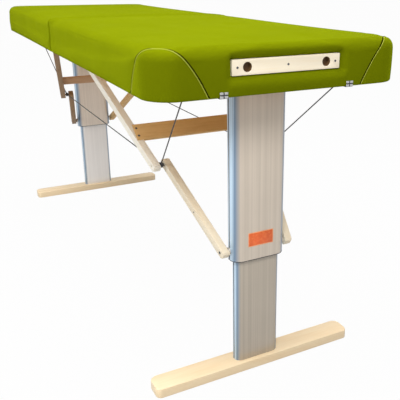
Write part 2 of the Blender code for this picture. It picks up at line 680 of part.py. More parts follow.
def strut_mesh(start, end, y_start, y_end, hand, start_margin):
    """Make a bar between two pivots given as (x, z), leaning outwards along its length."""
    start = Vector(start)
    run = Vector(end) - start
    length = run.length
    along = run / length
    across = Vector((-along.y, along.x))
    half = STRUT_WIDTH / 2
    chamfer = STRUT_END_CHAMFER
    first = -start_margin
    last = length + STRUT_END_MARGIN
    outline = [
        (first + chamfer, -half),
        (last - chamfer, -half),
        (last, chamfer - half),
        (last, half - chamfer),
        (last - chamfer, half),
        (first + chamfer, half),
        (first, half - chamfer),
        (first, chamfer - half),
    ]

    def place(u, v, offset):
        point = start + along * u + across * v
        y = y_start + (y_end - y_start) * u / length + offset
        return (point.x, hand * y, point.y)

    half_thickness = STRUT_THICKNESS / 2
    return prism_mesh(
        outline,
        lambda u, v: place(u, v, -half_thickness),
        lambda u, v: place(u, v, half_thickness),
    )


def solve_brace():
    """Return the lower and upper strut lengths.

    Opened, the two struts lie in one straight line from the column to the deck. Folded, the
    column lies level under the deck and the upper strut lies level above it.
    """
    foot_x = COLUMN_CENTRE - BRACE_TOP_X
    foot_z = BRACE_FOOT_HEIGHT - BRACE_TOP_HEIGHT
    total = math.hypot(foot_x, foot_z)
    folded_x = LEG_AXIS_X - (LEG_AXIS_HEIGHT - BRACE_FOOT_HEIGHT) - BRACE_TOP_X
    folded_z = LEG_AXIS_HEIGHT + LEG_AXIS_OFFSET - BRACE_TOP_HEIGHT
    upper = (total**2 - folded_x**2 - folded_z**2) / (2 * (total - folded_x))
    return total - upper, upper


LOWER_LENGTH, UPPER_LENGTH = solve_brace()
BRACE_SLOPE = math.atan2(BRACE_TOP_HEIGHT - BRACE_FOOT_HEIGHT, COLUMN_CENTRE - BRACE_TOP_X)
KNEE_X = COLUMN_CENTRE - LOWER_LENGTH * math.cos(BRACE_SLOPE)
KNEE_HEIGHT = BRACE_FOOT_HEIGHT + LOWER_LENGTH * math.sin(BRACE_SLOPE)


def make_lower_struts(prefix, side, axis):
    """Make the lower strut pair, which hangs on the knee pins and ends at the column's bosses."""
    start = (side * COLUMN_CENTRE, BRACE_FOOT_HEIGHT)
    end = (side * KNEE_X, KNEE_HEIGHT)
    for hand_name, hand in HANDS:
        mesh = strut_mesh(start, end, BRACE_FOOT_Y, KNEE_LOWER_Y, hand, STRUT_END_MARGIN)
        strut = make_piece(f"{prefix}_lower_strut_{hand_name}", mesh, "birch", axis)
        hole_from = hand * (KNEE_LOWER_Y - 2 * STRUT_THICKNESS)
        hole_to = hand * (KNEE_LOWER_Y + 2 * STRUT_THICKNESS)
        combine(strut, pin_mesh(*end, hole_from, hole_to, BOLT_RADIUS + RUNNING_GAP))


def cross_board_mesh(side, gap=0.0, past=0.0):
    """Return the cross board, let into the inner part of both upper struts, or the cutter for its seat."""
    strut_y = BRACE_TOP_Y + (KNEE_UPPER_Y - BRACE_TOP_Y) * (1 - CROSS_BOARD_FROM_KNEE / UPPER_LENGTH)
    y_end = strut_y - STRUT_THICKNESS / 2 + CROSS_BOARD_OVERLAP + gap
    centre = UPPER_LENGTH - CROSS_BOARD_FROM_KNEE
    low = (
        centre - CROSS_BOARD_WIDTH / 2 - gap,
        -y_end,
        STRUT_WIDTH / 2 - CROSS_BOARD_THICKNESS - gap,
    )
    high = (
        centre + CROSS_BOARD_WIDTH / 2 + gap,
        y_end,
        STRUT_WIDTH / 2 + past,
    )
    mesh = box_mesh(low, high)
    turn = Matrix.Rotation(BRACE_SLOPE, 4, "Y")
    shift = Matrix.Translation((BRACE_TOP_X, 0.0, BRACE_TOP_HEIGHT))
    flip = Matrix.Diagonal((side, 1.0, 1.0, 1.0))
    bmesh.ops.transform(mesh, matrix=flip @ shift @ turn, verts=mesh.verts)
    return mesh


def make_upper_struts(prefix, side, axis):
    """Make the upper strut pair, its knee pins and the cross board that ties it."""
    start = (side * BRACE_TOP_X, BRACE_TOP_HEIGHT)
    end = (side * KNEE_X, KNEE_HEIGHT)
    bolt_hole = BOLT_RADIUS + RUNNING_GAP
    reach = 2 * STRUT_THICKNESS
    for hand_name, hand in HANDS:
        mesh = strut_mesh(start, end, BRACE_TOP_Y, KNEE_UPPER_Y, hand, STRUT_TOP_MARGIN)
        strut = make_piece(f"{prefix}_upper_strut_{hand_name}", mesh, "birch", axis)
        for pivot, y in ((start, BRACE_TOP_Y), (end, KNEE_UPPER_Y)):
            combine(strut, pin_mesh(*pivot, hand * (y - reach), hand * (y + reach), bolt_hole))
        combine(strut, cross_board_mesh(side, FIT_GAP, CUT_PAST))

        upper_slant = strut_slant(KNEE_UPPER_Y, BRACE_TOP_Y, UPPER_LENGTH) * KNEE_SLEEVE_RADIUS
        lower_slant = strut_slant(BRACE_FOOT_Y, KNEE_LOWER_Y, LOWER_LENGTH) * KNEE_SLEEVE_RADIUS
        inner_head = KNEE_LOWER_Y - STRUT_THICKNESS / 2 - lower_slant - FIT_GAP
        sleeve_from = KNEE_LOWER_Y + STRUT_THICKNESS / 2 + lower_slant + FIT_GAP
        sleeve_to = KNEE_UPPER_Y - STRUT_THICKNESS / 2 - upper_slant - FIT_GAP
        head_from = KNEE_UPPER_Y + STRUT_THICKNESS / 2 + upper_slant + FIT_GAP
        profile = (
            (hand * (inner_head - BOLT_HEAD_HEIGHT), BOLT_HEAD_RADIUS),
            (hand * inner_head, BOLT_HEAD_RADIUS),
            (hand * inner_head, BOLT_RADIUS),
            (hand * sleeve_from, BOLT_RADIUS),
            (hand * sleeve_from, KNEE_SLEEVE_RADIUS),
            (hand * sleeve_to, KNEE_SLEEVE_RADIUS),
            (hand * sleeve_to, BOLT_RADIUS),
            (hand * head_from, BOLT_RADIUS),
            (hand * head_from, BOLT_HEAD_RADIUS),
            (hand * (head_from + BOLT_HEAD_HEIGHT), BOLT_HEAD_RADIUS),
        )
        pin = make_piece(f"{prefix}_knee_pin_{hand_name}", turned_mesh(*end, profile), "dark_steel", axis)
        smooth(pin)
    make_piece(prefix + "_cross_board", cross_board_mesh(side), "plywood", axis)


def make_cables(axes):
    """Make the taut cables: knee to table end at each corner, and knee to knee on each side."""
    knee_y = (KNEE_LOWER_Y + KNEE_UPPER_Y) / 2
    start_gap = KNEE_SLEEVE_RADIUS + FIT_GAP
    for hand_name, hand in HANDS:
        for prefix, side in ENDS:
            knee = Vector((side * KNEE_X, hand * knee_y, KNEE_HEIGHT))
            anchor_x = END_RAIL_INNER_X - CABLE_RADIUS
            anchor_height = UNDERSIDE_HEIGHT + END_CABLE_ABOVE_UNDERSIDE
            anchor = Vector((side * anchor_x, hand * END_CABLE_Y, anchor_height))
            start = knee + (anchor - knee).normalized() * start_gap
            cable = rod_mesh(start, anchor, CABLE_RADIUS, CABLE_SIDES)
            smooth(make_piece(f"{prefix}_end_cable_{hand_name}", cable, "dark_steel", axes[prefix]))
        reach = KNEE_X - start_gap
        far_end = (-reach, hand * knee_y, KNEE_HEIGHT)
        near_end = (reach, hand * knee_y, KNEE_HEIGHT)
        middle = rod_mesh(far_end, near_end, CABLE_RADIUS, CABLE_SIDES)
        smooth(make_piece(f"middle_cable_{hand_name}", middle, "dark_steel", axes["near"]))


def make_leg(prefix, side):
    """Make one leg with its braces, each group carried by an empty on its own axis."""
    leg_axis = make_axis(prefix + "_leg_axis", (side * LEG_AXIS_X, 0.0, LEG_AXIS_HEIGHT))
    make_outer_column(prefix + "_outer_column", side, leg_axis)
    make_column_insides(prefix, side, leg_axis)
    lift_axis = make_axis(prefix + "_lift_axis", (side * COLUMN_CENTRE, 0.0, OUTER_RIM_HEIGHT))
    make_inner_column(prefix + "_inner_column", side, lift_axis)
    make_foot_bar(prefix + "_foot_bar", side, lift_axis)
    lower_axis = make_axis(prefix + "_knee_axis", (side * KNEE_X, 0.0, KNEE_HEIGHT))
    make_lower_struts(prefix, side, lower_axis)
    upper_axis = make_axis(prefix + "_upper_strut_axis", (side * BRACE_TOP_X, 0.0, BRACE_TOP_HEIGHT))
    make_upper_struts(prefix, side, upper_axis)


def main():
    clear_scene()
    near_axis = make_axis("near_half_frame", (0.0, 0.0, 0.0))
    far_axis = make_axis("table_hinge_axis", (0.0, 0.0, HINGE_HEIGHT))
    axes = {"near": near_axis, "far": far_axis}
    for prefix, side in ENDS:
        make_half(prefix, side, axes[prefix])
        make_leg(prefix, side)
    make_hinge(near_axis, far_axis)
    make_headrest_board(near_axis)
    make_control_box(near_axis)
    make_cables(axes)


main()
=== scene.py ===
"""Looks of a folding electric massage table.

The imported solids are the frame. This add-on dresses them: a sewn cover on each half of the top,
wood, metal and plastic finishes, cables, small trim, and a plain studio with the camera.
"""
import json
import math
from itertools import accumulate

import bmesh
import bpy
import numpy as np
from bpy.props import FloatProperty, FloatVectorProperty, PointerProperty
from mathutils import Matrix, Vector
from mathutils.bvhtree import BVHTree

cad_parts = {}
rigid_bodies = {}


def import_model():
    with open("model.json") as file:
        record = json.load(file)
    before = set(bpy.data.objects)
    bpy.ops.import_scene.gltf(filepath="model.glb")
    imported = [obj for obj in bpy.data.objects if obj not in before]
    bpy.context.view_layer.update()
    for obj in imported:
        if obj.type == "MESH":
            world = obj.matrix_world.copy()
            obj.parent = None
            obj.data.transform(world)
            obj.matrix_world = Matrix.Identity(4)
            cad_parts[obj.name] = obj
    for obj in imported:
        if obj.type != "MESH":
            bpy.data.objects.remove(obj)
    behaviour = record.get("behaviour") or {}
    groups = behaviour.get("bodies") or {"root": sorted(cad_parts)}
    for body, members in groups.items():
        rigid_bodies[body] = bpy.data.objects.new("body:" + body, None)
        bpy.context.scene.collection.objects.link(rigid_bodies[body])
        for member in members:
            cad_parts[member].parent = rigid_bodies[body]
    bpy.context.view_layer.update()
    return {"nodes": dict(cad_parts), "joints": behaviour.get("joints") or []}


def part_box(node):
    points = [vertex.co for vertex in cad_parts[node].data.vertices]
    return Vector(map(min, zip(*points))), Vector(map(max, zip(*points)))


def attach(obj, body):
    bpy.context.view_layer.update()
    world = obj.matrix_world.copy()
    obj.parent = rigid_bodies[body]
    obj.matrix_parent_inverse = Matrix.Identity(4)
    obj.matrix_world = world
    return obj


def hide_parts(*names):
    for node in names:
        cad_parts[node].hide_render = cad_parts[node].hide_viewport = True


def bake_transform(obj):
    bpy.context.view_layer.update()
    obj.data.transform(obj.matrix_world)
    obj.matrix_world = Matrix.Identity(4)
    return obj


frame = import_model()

bl_info = {
    "name": "Massage table looks",
    "version": (1, 0, 0),
    "blender": (4, 5, 0),
    "location": "3D View > Sidebar > Massage table",
    "description": "Dresses the packed frame of a folding electric massage table",
    "category": "Object",
}

# Boxes, pivots and directions of the frame
SKIRT_LOW, SKIRT_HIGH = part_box("near_skirt")
PAD_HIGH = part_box("near_pad")[1]
DECK_LOW, DECK_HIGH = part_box("near_deck")
RAIL_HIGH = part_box("near_end_rail")[1]
BOARD_LOW, BOARD_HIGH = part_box("headrest_board")
COLUMN_LOW, COLUMN_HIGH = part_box("near_outer_column")
LEAF_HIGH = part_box("centre_hinge_leaf_near")[1]
PIN_LOW, PIN_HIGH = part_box("near_knee_pin_right")
CABLE_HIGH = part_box("near_end_cable_right")[1]
MIDDLE_CABLE_LOW, MIDDLE_CABLE_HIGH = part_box("middle_cable_right")
PIVOTS = {joint["name"]: Vector(joint["pos_m"]) for joint in frame["joints"] if "pos_m" in joint}
KNEE = PIVOTS["near_knee"]
BRACE_TOP = PIVOTS["near_upper_strut"]
COLUMN_MIDDLE = (COLUMN_LOW.x + COLUMN_HIGH.x) / 2
BOARD_MIDDLE = (BOARD_LOW.z + BOARD_HIGH.z) / 2
PIN_RADIUS = (PIN_HIGH.x - PIN_LOW.x) / 2
LENGTHWISE = Vector((1.0, 0.0, 0.0))
CROSSWISE = Vector((0.0, 1.0, 0.0))
STRUT_SLOPE = (KNEE - BRACE_TOP).normalized()
# The column's bosses lie on the line from the brace's top through the knee
STRUT_FALL = (KNEE.z - BRACE_TOP.z) / (KNEE.x - BRACE_TOP.x)
BOSS_HEIGHT = BRACE_TOP.z + STRUT_FALL * (COLUMN_MIDDLE - BRACE_TOP.x)
ENDS = (("near", 1), ("far", -1))
HANDS = (("left", -1), ("right", 1))
MILLIMETRE = 0.001


def mirrored(point, side=1, hand=1):
    """Carry a point of the near right quarter over to another quarter of the table."""
    return Vector((side * point.x, hand * point.y, point.z))


# Settings

def length_property(name, description, default):
    return FloatProperty(name=name, description=description, default=default, unit="LENGTH")


def power_property(name, description, default):
    return FloatProperty(name=name, description=description, default=default, unit="POWER")


def angle_property(name, description, degrees):
    return FloatProperty(name=name, description=description, default=math.radians(degrees), subtype="ANGLE")


def colour_property(name, description, default):
    return FloatVectorProperty(
        name=name, description=description, default=default, size=3, subtype="COLOR", min=0.0, max=1.0
    )


class CoverSizes(bpy.types.PropertyGroup):
    """Sizes of the sewn cover on each half of the top"""

    corner_radius: length_property("Corner radius", "Radius of the outer corners from above", 0.068)
    split_corner_radius: length_property("Split corner radius", "Radius of the corners at the split", 0.011)
    roll_width: length_property("Roll width", "How far the top edge rolls inwards", 0.022)
    roll_height: length_property("Roll height", "How far the top edge rolls down", 0.026)
    split_roll_width: length_property("Split roll width", "Inward roll of the edge at the split", 0.009)
    split_roll_height: length_property("Split roll height", "Downward roll of the edge at the split", 0.012)
    bottom_round: length_property("Bottom round", "Radius of the lower edge", 0.005)
    flange_width: length_property("Flange width", "Width of the cover stapled under the rails", 0.010)
    flange_thickness: length_property("Flange thickness", "Thickness of the stapled edge", 0.001)
    draw_in: length_property("Draw in", "How far the long sides pull in between corners", 0.002)
    belly: length_property("Belly", "How far the padding of the sides bulges", 0.0012)
    crown: length_property("Crown", "Rise of the top above its edge", 0.0042)
    pocket_reach: length_property("Pocket reach", "Spread of the dent round the headrest board", 0.019)
    pocket_depth: length_property("Pocket depth", "Depth of the dent at the headrest board", 0.0195)
    lip_reach: length_property("Lip reach", "Height of the puffed lip below the board", 0.021)
    lip_proud: length_property("Lip proud", "How far that lip stands out", 0.0035)
    pressure: FloatProperty(
        name="Pressure", description="Pressure of the padding in the cloth simulation", default=3.0
    )
    settle_limit: length_property("Settle limit", "How far the simulation may move a point", 0.0025)
    seam_half_width: length_property("Seam half width", "Half width of a corner panel at its foot", 0.112)
    seam_rise: length_property("Seam rise", "Height of a corner panel along the surface", 0.117)
    seam_valley: length_property("Seam valley", "Depth of the valley that a seam pulls in", 0.0016)
    seam_spread: length_property("Seam spread", "Half width of that valley", 0.006)
    welt_radius: length_property("Welt radius", "Radius of the sewn welt", 0.0012)


class TrimSizes(bpy.types.PropertyGroup):
    """Sizes of screws, sockets, clips, cables, the plate and rounded edges"""

    screw_radius: length_property("Screw radius", "Radius of the screw heads in the wood", 0.0036)
    socket_radius: length_property("Socket radius", "Outer radius of a headrest socket's lining", 0.0107)
    socket_place: length_property("Socket place", "Distance of a socket from the middle", 0.102)
    clip_width: length_property("Clip width", "Width of a plated clip at the near end", 0.0195)
    clip_height: length_property("Clip height", "Height of a plated clip", 0.0135)
    clip_gap: length_property("Clip gap", "Gap between the pads of a clip", 0.0026)
    clip_place: length_property("Clip place", "Distance of a clip from the middle", 0.1635)
    plate_width: length_property("Plate width", "Width of the blank plate on the column", 0.074)
    plate_height: length_property("Plate height", "Height of the blank plate", 0.039)
    plate_middle: length_property("Plate middle", "Height of the plate's middle above the rim", 0.057)
    cable_radius: length_property("Cable radius", "Radius of a steel cable", 0.0017)
    wood_edge: length_property("Wood edge", "Rounding of wooden edges", 0.0016)
    metal_edge: length_property("Metal edge", "Rounding of metal edges", 0.0005)


class FinishColours(bpy.types.PropertyGroup):
    """Colours of the finishes"""

    upholstery: colour_property("Upholstery", "Lit colour of the green vinyl", (0.150, 0.183, 0.0014))
    # The deep colour below darkens random patches of the vinyl, and is the painted shade in the grain's
    # creases
    upholstery_deep: colour_property("Upholstery deep", "Colour in the grain", (0.108, 0.133, 0.0010))
    upholstery_shine: colour_property("Upholstery shine", "Tint of its highlights", (0.82, 1.00, 0.02))
    # The welt's pale colour is a painted highlight along the seam
    seam: colour_property("Seam", "Pale welt along a seam", (0.420, 0.460, 0.070))
    birch: colour_property("Birch", "Pale birch", (0.950, 0.785, 0.540))
    board: colour_property("Board", "Birch of the headrest board", (0.980, 0.900, 0.740))
    birch_grain: colour_property("Birch grain", "Darker lines of birch", (0.880, 0.660, 0.400))
    # The strut colours below are lit and shaded copies of the one birch: the near upper struts' white copy is
    # painted light, the near lower struts' cream copy is matched to the light on them, and the far left
    # struts' brown copy is painted shade
    white_birch: colour_property("White birch", "Birch of the near upper struts", (1.000, 0.965, 0.870))
    white_birch_grain: colour_property("White birch grain", "Darker lines of it", (0.970, 0.880, 0.720))
    cream_birch: colour_property("Cream birch", "Birch of the near lower struts", (0.880, 0.785, 0.615))
    cream_birch_grain: colour_property("Cream birch grain", "Darker lines of it", (0.820, 0.690, 0.490))
    brown_birch: colour_property("Brown birch", "Birch of the far left struts", (0.320, 0.182, 0.077))
    brown_birch_grain: colour_property("Brown birch grain", "Darker lines of it", (0.260, 0.140, 0.055))
    plywood: colour_property("Plywood", "Warm plywood", (0.850, 0.560, 0.245))
    plywood_grain: colour_property("Plywood grain", "Darker lines of plywood", (0.700, 0.420, 0.160))
    # The far cross board's brown plywood is a darker copy of the plywood: painted shade
    brown_plywood: colour_property("Brown plywood", "Plywood of the far cross board", (0.540, 0.295, 0.138))
    brown_plywood_grain: colour_property("Brown plywood grain", "Darker lines of it", (0.445, 0.220, 0.090))
    aluminium: colour_property("Aluminium", "Anodised near outer profile", (0.710, 0.625, 0.530))
    aluminium_line: colour_property("Aluminium line", "Brushed lines of it", (0.595, 0.520, 0.435))
    # The far outer and far inner profiles' colours are lighter copies of the anodised aluminium: painted
    # light. The near inner profile's two colours are a darker copy: painted shade.
    far_aluminium: colour_property("Far aluminium", "Anodised far outer profile", (0.850, 0.740, 0.630))
    aluminium_bright: colour_property("Aluminium bright", "Anodised far inner profile", (0.980, 0.945, 0.910))
    inner_aluminium: colour_property("Inner aluminium", "Anodised near inner profile", (0.520, 0.460, 0.385))
    inner_aluminium_line: colour_property("Inner aluminium line", "Lines of it", (0.420, 0.370, 0.305))
    # Painted on the rounded sides of the profiles: a cool cast that is painted reflection, a bright line that
    # is painted highlight, and a dark groove floor that is painted shade
    aluminium_cool: colour_property("Aluminium cool", "Cool cast of the rounded sides", (0.190, 0.285, 0.410))
    aluminium_pale: colour_property("Aluminium pale", "Bright line along those sides", (0.620, 0.790, 0.950))
    aluminium_groove: colour_property("Aluminium groove", "Floor of the side grooves", (0.030, 0.055, 0.100))
    plated_steel: colour_property("Plated steel", "Bright plated steel", (0.820, 0.810, 0.790))
    dark_steel: colour_property("Dark steel", "Blackened steel", (0.060, 0.055, 0.052))
    cable: colour_property("Cable", "Steel cable", (0.085, 0.080, 0.078))
    plastic: colour_property("Plastic", "Black moulded plastic", (0.022, 0.022, 0.024))
    # The socket colour below is the dark brown of the cups set in the board's holes, which darken them
    socket: colour_property("Socket", "Dark lining of the headrest sockets", (0.110, 0.056, 0.020))
    plate: colour_property("Plate", "Orange blank plate", (0.700, 0.110, 0.018))
    plate_rim: colour_property("Plate rim", "Pale rim of the plate", (0.820, 0.330, 0.160))


class StageSettings(bpy.types.PropertyGroup):
    """Camera, lamps and surroundings"""

    camera_place: FloatVectorProperty(
        name="Camera place",
        description="Where the camera stands",
        default=(2.1121, -0.7091, 1.0375),
        unit="LENGTH",
    )
    camera_azimuth: angle_property("Azimuth", "Turn of the camera about the upright axis", 61.416)
    camera_elevation: angle_property("Elevation", "How far the camera looks down", 18.271)
    camera_roll: angle_property("Roll", "Turn of the camera about its view", 0.286)
    focal_pixels: FloatProperty(
        name="Focal length", description="Focal length in image pixels", default=599.59
    )
    middle_pixels: FloatVectorProperty(
        name="Optical middle", description="Pixel on the camera's axis", default=(250.90, 174.56), size=2
    )
    image_pixels: FloatProperty(name="Image size", description="Width and height of the image", default=400.0)
    sky: FloatProperty(name="Sky", description="Strength of the light from all round", default=0.42)
    key_power: power_property("Key lamp", "Power of the lamp above", 94.0)
    side_power: power_property("Side lamp", "Power of the cool lamp", 24.0)
    fill_power: power_property("Fill lamp", "Power of the lamp by the camera", 58.0)


# Node trees

class Graph:
    """Places nodes in a tree. A value that is an output socket is linked, and others are set."""

    def __init__(self, tree):
        self.tree = tree

    def fill(self, node, values):
        for key, value in values.items():
            socket = node.inputs[key]
            if isinstance(value, bpy.types.NodeSocket):
                self.tree.links.new(value, socket)
            else:
                socket.default_value = value
        return node

    def add(self, kind, values=(), **settings):
        node = self.tree.nodes.new("ShaderNode" + kind)
        for key, value in settings.items():
            setattr(node, key, value)
        return self.fill(node, dict(values))

    def group(self, name, values):
        return self.add("Group", values, node_tree=bpy.data.node_groups[name]).outputs

    def place(self):
        """Coordinates on the piece itself."""
        return self.add("TexCoord").outputs["Object"]

    def mix(self, share, first, second):
        """Mix two colours by a share, through those of the node's sockets that hold colours."""
        return self.add("Mix", {0: share, 6: first, 7: second}, data_type="RGBA").outputs[2]

    def math(self, operation, first, second):
        return self.add("Math", {0: first, 1: second}, operation=operation).outputs[0]

    def span(self, value, low, high, to_low=0.0, to_high=1.0):
        """Map a value from one span to another, held inside it."""
        places = {"Value": value, "From Min": low, "From Max": high, "To Min": to_low, "To Max": to_high}
        return self.add("MapRange", places).outputs["Result"]

    def stretch(self, vector, scale, turn=(0.0, 0.0, 0.0)):
        return self.add("Mapping", {"Vector": vector, "Rotation": turn, "Scale": scale}).outputs["Vector"]

    def noise(self, vector, scale, detail=3.0, roughness=0.5, distortion=0.0):
        values = {"Scale": scale, "Detail": detail, "Roughness": roughness, "Distortion": distortion}
        return self.add("TexNoise", {"Vector": vector, **values}).outputs[0]

    def patches(self, place, scale, low, high):
        values = {"Vector": place, "Scale": scale, "Low": low, "High": high}
        return self.group("Soft patches", values)["Value"]

    def rubbed(self, tone, place, scale, share, pale):
        """Lighten a tone where the edges are rubbed."""
        wear = self.group("Edge wear", {"Vector": place, "Scale": scale})
        return self.mix(self.math("MULTIPLY", wear["Mask"], share), tone, opaque(pale))

    def bump(self, shader, height, distance, strength):
        node = self.add("Bump", {"Strength": strength, "Distance": distance, "Height": height})
        self.fill(shader, {"Normal": node.outputs["Normal"]})


def new_group(name, inputs, outputs):
    """Start a node group with a Vector and the given numbers as inputs."""
    tree = bpy.data.node_groups.new(name, "ShaderNodeTree")
    tree.interface.new_socket("Vector", in_out="INPUT", socket_type="NodeSocketVector")
    for label, value in inputs.items():
        socket = tree.interface.new_socket(label, in_out="INPUT", socket_type="NodeSocketFloat")
        socket.default_value = value
    for label in outputs:
        tree.interface.new_socket(label, in_out="OUTPUT", socket_type="NodeSocketFloat")
    return Graph(tree), tree.nodes.new("NodeGroupInput").outputs, tree.nodes.new("NodeGroupOutput")


def group_patches():
    """Soft patches over a surface, between two values."""
    graph, entry, leave = new_group("Soft patches", {"Scale": 4.0, "Low": 0.0, "High": 1.0}, ("Value",))
    cloud = graph.noise(entry["Vector"], entry["Scale"])
    graph.fill(leave, {"Value": graph.span(cloud, 0.32, 0.68, entry["Low"], entry["High"])})


def group_leather():
    """Fine pebbled grain of a coated fabric: rounded cells with creases between them."""
    graph, entry, leave = new_group("Vinyl grain", {"Scale": 700.0}, ("Height", "Crease"))
    values = {"Vector": entry["Vector"], "Scale": entry["Scale"], "Randomness": 1.0}
    cells = graph.add("TexVoronoi", values, feature="DISTANCE_TO_EDGE").outputs["Distance"]
    pebble = graph.span(cells, 0.0, 0.35)
    coarser_scale = graph.math("MULTIPLY", entry["Scale"], 0.35)
    swell = graph.noise(entry["Vector"], coarser_scale)
    height = graph.math("ADD", pebble, swell)
    # Crease is high in the creases between cells; the vinyl uses it for painted shade
    graph.fill(leave, {"Height": height, "Crease": graph.span(cells, 0.0, 0.10, 1.0, 0.0)})


def group_wood():
    """Wood with its grain along X: broad figure, fine lines and short pores."""
    scales = {"Figure scale": 9.0, "Line scale": 60.0}
    graph, entry, leave = new_group("Wood figure", scales, ("Figure", "Line", "Height"))
    drawn = [graph.stretch(entry["Vector"], (along, 1.0, 1.0)) for along in (0.18, 0.04, 0.10)]
    figure = graph.noise(drawn[0], entry["Figure scale"], detail=3.0, roughness=0.55, distortion=0.9)
    line = graph.noise(drawn[1], entry["Line scale"], detail=4.0, roughness=0.65, distortion=0.2)
    pores = graph.span(graph.noise(drawn[2], scale=900.0, detail=1.0), 0.62, 0.72)
    height = graph.math("SUBTRACT", line, pores)
    spread_figure = graph.span(figure, 0.35, 0.65)
    graph.fill(leave, {"Figure": spread_figure, "Line": graph.span(line, 0.36, 0.66), "Height": height})


def group_brushed():
    """Fine lines drawn along Z, as on an extruded and brushed profile."""
    graph, entry, leave = new_group("Brushed lines", {"Scale": 160.0}, ("Line", "Height"))
    drawn = graph.stretch(entry["Vector"], (1.0, 1.0, 0.004))
    coarse = graph.noise(drawn, entry["Scale"], detail=3.0, roughness=0.6)
    fine = graph.noise(drawn, graph.math("MULTIPLY", entry["Scale"], 7.0), detail=2.0)
    graph.fill(leave, {"Line": graph.span(coarse, 0.34, 0.66), "Height": graph.math("ADD", coarse, fine)})


def group_wear():
    """Rubbed edges: where the surface is convex, broken up by patches."""
    graph, entry, leave = new_group("Edge wear", {"Scale": 60.0}, ("Mask",))
    edge = graph.span(graph.add("NewGeometry").outputs["Pointiness"], 0.51, 0.60)
    broken = graph.span(graph.noise(entry["Vector"], entry["Scale"]), 0.40, 0.65)
    graph.fill(leave, {"Mask": graph.math("MULTIPLY", edge, broken)})


# Finishes

WHITE = (1.0, 1.0, 1.0, 1.0)
VINYL_ROUGH = 0.45
VINYL_SHEEN = 0.25
CREASE_SHADE_DEPTH = 0.35
SWELL_GAIN = 3.5
SEAM_SHADE_ROUGH = 0.60
PROFILE_ROUGH = 0.34
LINE_DEPTH = 0.75
FAR_LINE_SHARE = 0.88
# How far a profile's face has turned sideways where its painted reflection (a cool cast), its painted
# highlight (a bright line) and the painted shade in its groove begin and are full
PAINTED_REFLECTION_TURN = (0.36, 0.74)
PAINTED_HIGHLIGHT_TURN = (0.78, 0.95)
GROOVE_SHADE_TURN = (0.90, 0.97)
# Distances from the middle of a groove where its painted shade ends and where the plain side begins
GROOVE_SHADE_EDGE = (0.0020, 0.0034)
BIRCH = {"rough": 0.50, "figure": 0.45, "lines": 0.30}
CALM_BIRCH = {"rough": 0.50, "figure": 0.28, "lines": 0.22}
PLYWOOD = {"rough": 0.55, "figure": 0.55, "lines": 0.35}
FAR_SLOPE = mirrored(STRUT_SLOPE, side=-1)
# Each wood's name, its two colours, the direction of its grain and its kind
WOODS = (
    ("birch_crosswise", "birch", "birch_grain", CROSSWISE, BIRCH),
    ("birch_board", "board", "birch", CROSSWISE, CALM_BIRCH),
    # Lit and shaded copies of birch for the struts: the white one is painted light, the cream one is matched
    # to the light on the near lower struts, and the brown and tan ones on the far struts are painted shade
    ("white_birch", "white_birch", "white_birch_grain", STRUT_SLOPE, BIRCH),
    ("cream_birch", "cream_birch", "cream_birch_grain", STRUT_SLOPE, BIRCH),
    ("brown_birch", "brown_birch", "brown_birch_grain", FAR_SLOPE, BIRCH),
    ("tan_birch", "plywood", "plywood_grain", FAR_SLOPE, BIRCH),
    ("plywood_crosswise", "plywood", "plywood_grain", CROSSWISE, PLYWOOD),
    ("plywood_lengthwise", "plywood", "plywood_grain", LENGTHWISE, PLYWOOD),
    ("near_cross_plywood", "plywood", "plywood_grain", CROSSWISE, PLYWOOD),
    # The far cross board's darker plywood is painted shade
    ("far_cross_plywood", "brown_plywood", "brown_plywood_grain", CROSSWISE, PLYWOOD),
)


def opaque(colour):
    return (*colour, 1.0)


def tinted(colour, gain, lift=0.0):
    return [channel * gain + lift for channel in colour]


def clamped(colour):
    return [min(1.0, channel) for channel in colour]


def new_material(name):
    """Start a material, and return its graph and its shader."""
    material = bpy.data.materials.new(name)
    material.use_nodes = True
    return Graph(material.node_tree), material.node_tree.nodes["Principled BSDF"]


def make_vinyl(name, light, deep, rough, sheen):
    """Coated fabric: pebbled, with painted shade darkening its creases, and a tinted sheen."""
    graph, shader = new_material(name)
    place = graph.place()
    tint = opaque(bpy.context.scene.table_colours.upholstery_shine)
    grain = graph.group("Vinyl grain", {"Vector": place, "Scale": 650.0})
    # Painted shade: the grain's creases turn darker, on top of random darker patches
    creases = graph.math("MULTIPLY", grain["Crease"], CREASE_SHADE_DEPTH)
    depth = graph.math("ADD", creases, graph.patches(place, scale=5.0, low=0.0, high=0.30))
    shine = graph.patches(place, scale=9.0, low=rough - 0.05, high=rough + 0.06)
    graph.fill(shader, {"Base Color": graph.mix(depth, opaque(light), opaque(deep)), "Roughness": shine})
    graph.fill(shader, {"Metallic": 0.15, "Specular IOR Level": 0.0, "Specular Tint": tint})
    graph.fill(shader, {"Sheen Weight": sheen, "Sheen Roughness": 0.40, "Sheen Tint": tint})
    swell = graph.math("MULTIPLY", graph.noise(place, scale=110.0, detail=2.0), SWELL_GAIN)
    graph.bump(shader, graph.math("ADD", grain["Height"], swell), distance=0.00030, strength=0.7)


def make_wood(name, light, dark, along, rough, figure, lines):
    """Wood whose grain runs along a given direction."""
    graph, shader = new_material(name)
    place = graph.place()
    turn = LENGTHWISE.rotation_difference(along).inverted().to_euler()
    turned = graph.stretch(place, (1.0, 1.0, 1.0), turn)
    wood = graph.group("Wood figure", {"Vector": turned, "Figure scale": 26.0, "Line scale": 210.0})
    broad = graph.math("MULTIPLY", wood["Figure"], figure)
    depth = graph.math("ADD", broad, graph.math("MULTIPLY", wood["Line"], lines))
    body = graph.mix(depth, opaque(light), opaque(dark))
    rubbed = graph.rubbed(body, place, scale=70.0, share=0.25, pale=clamped(tinted(light, gain=1.12)))
    shine = graph.span(wood["Line"], 0.0, 1.0, rough - 0.06, rough + 0.08)
    graph.fill(shader, {"Base Color": rubbed, "Roughness": shine})
    graph.bump(shader, wood["Height"], distance=0.00010, strength=0.5)


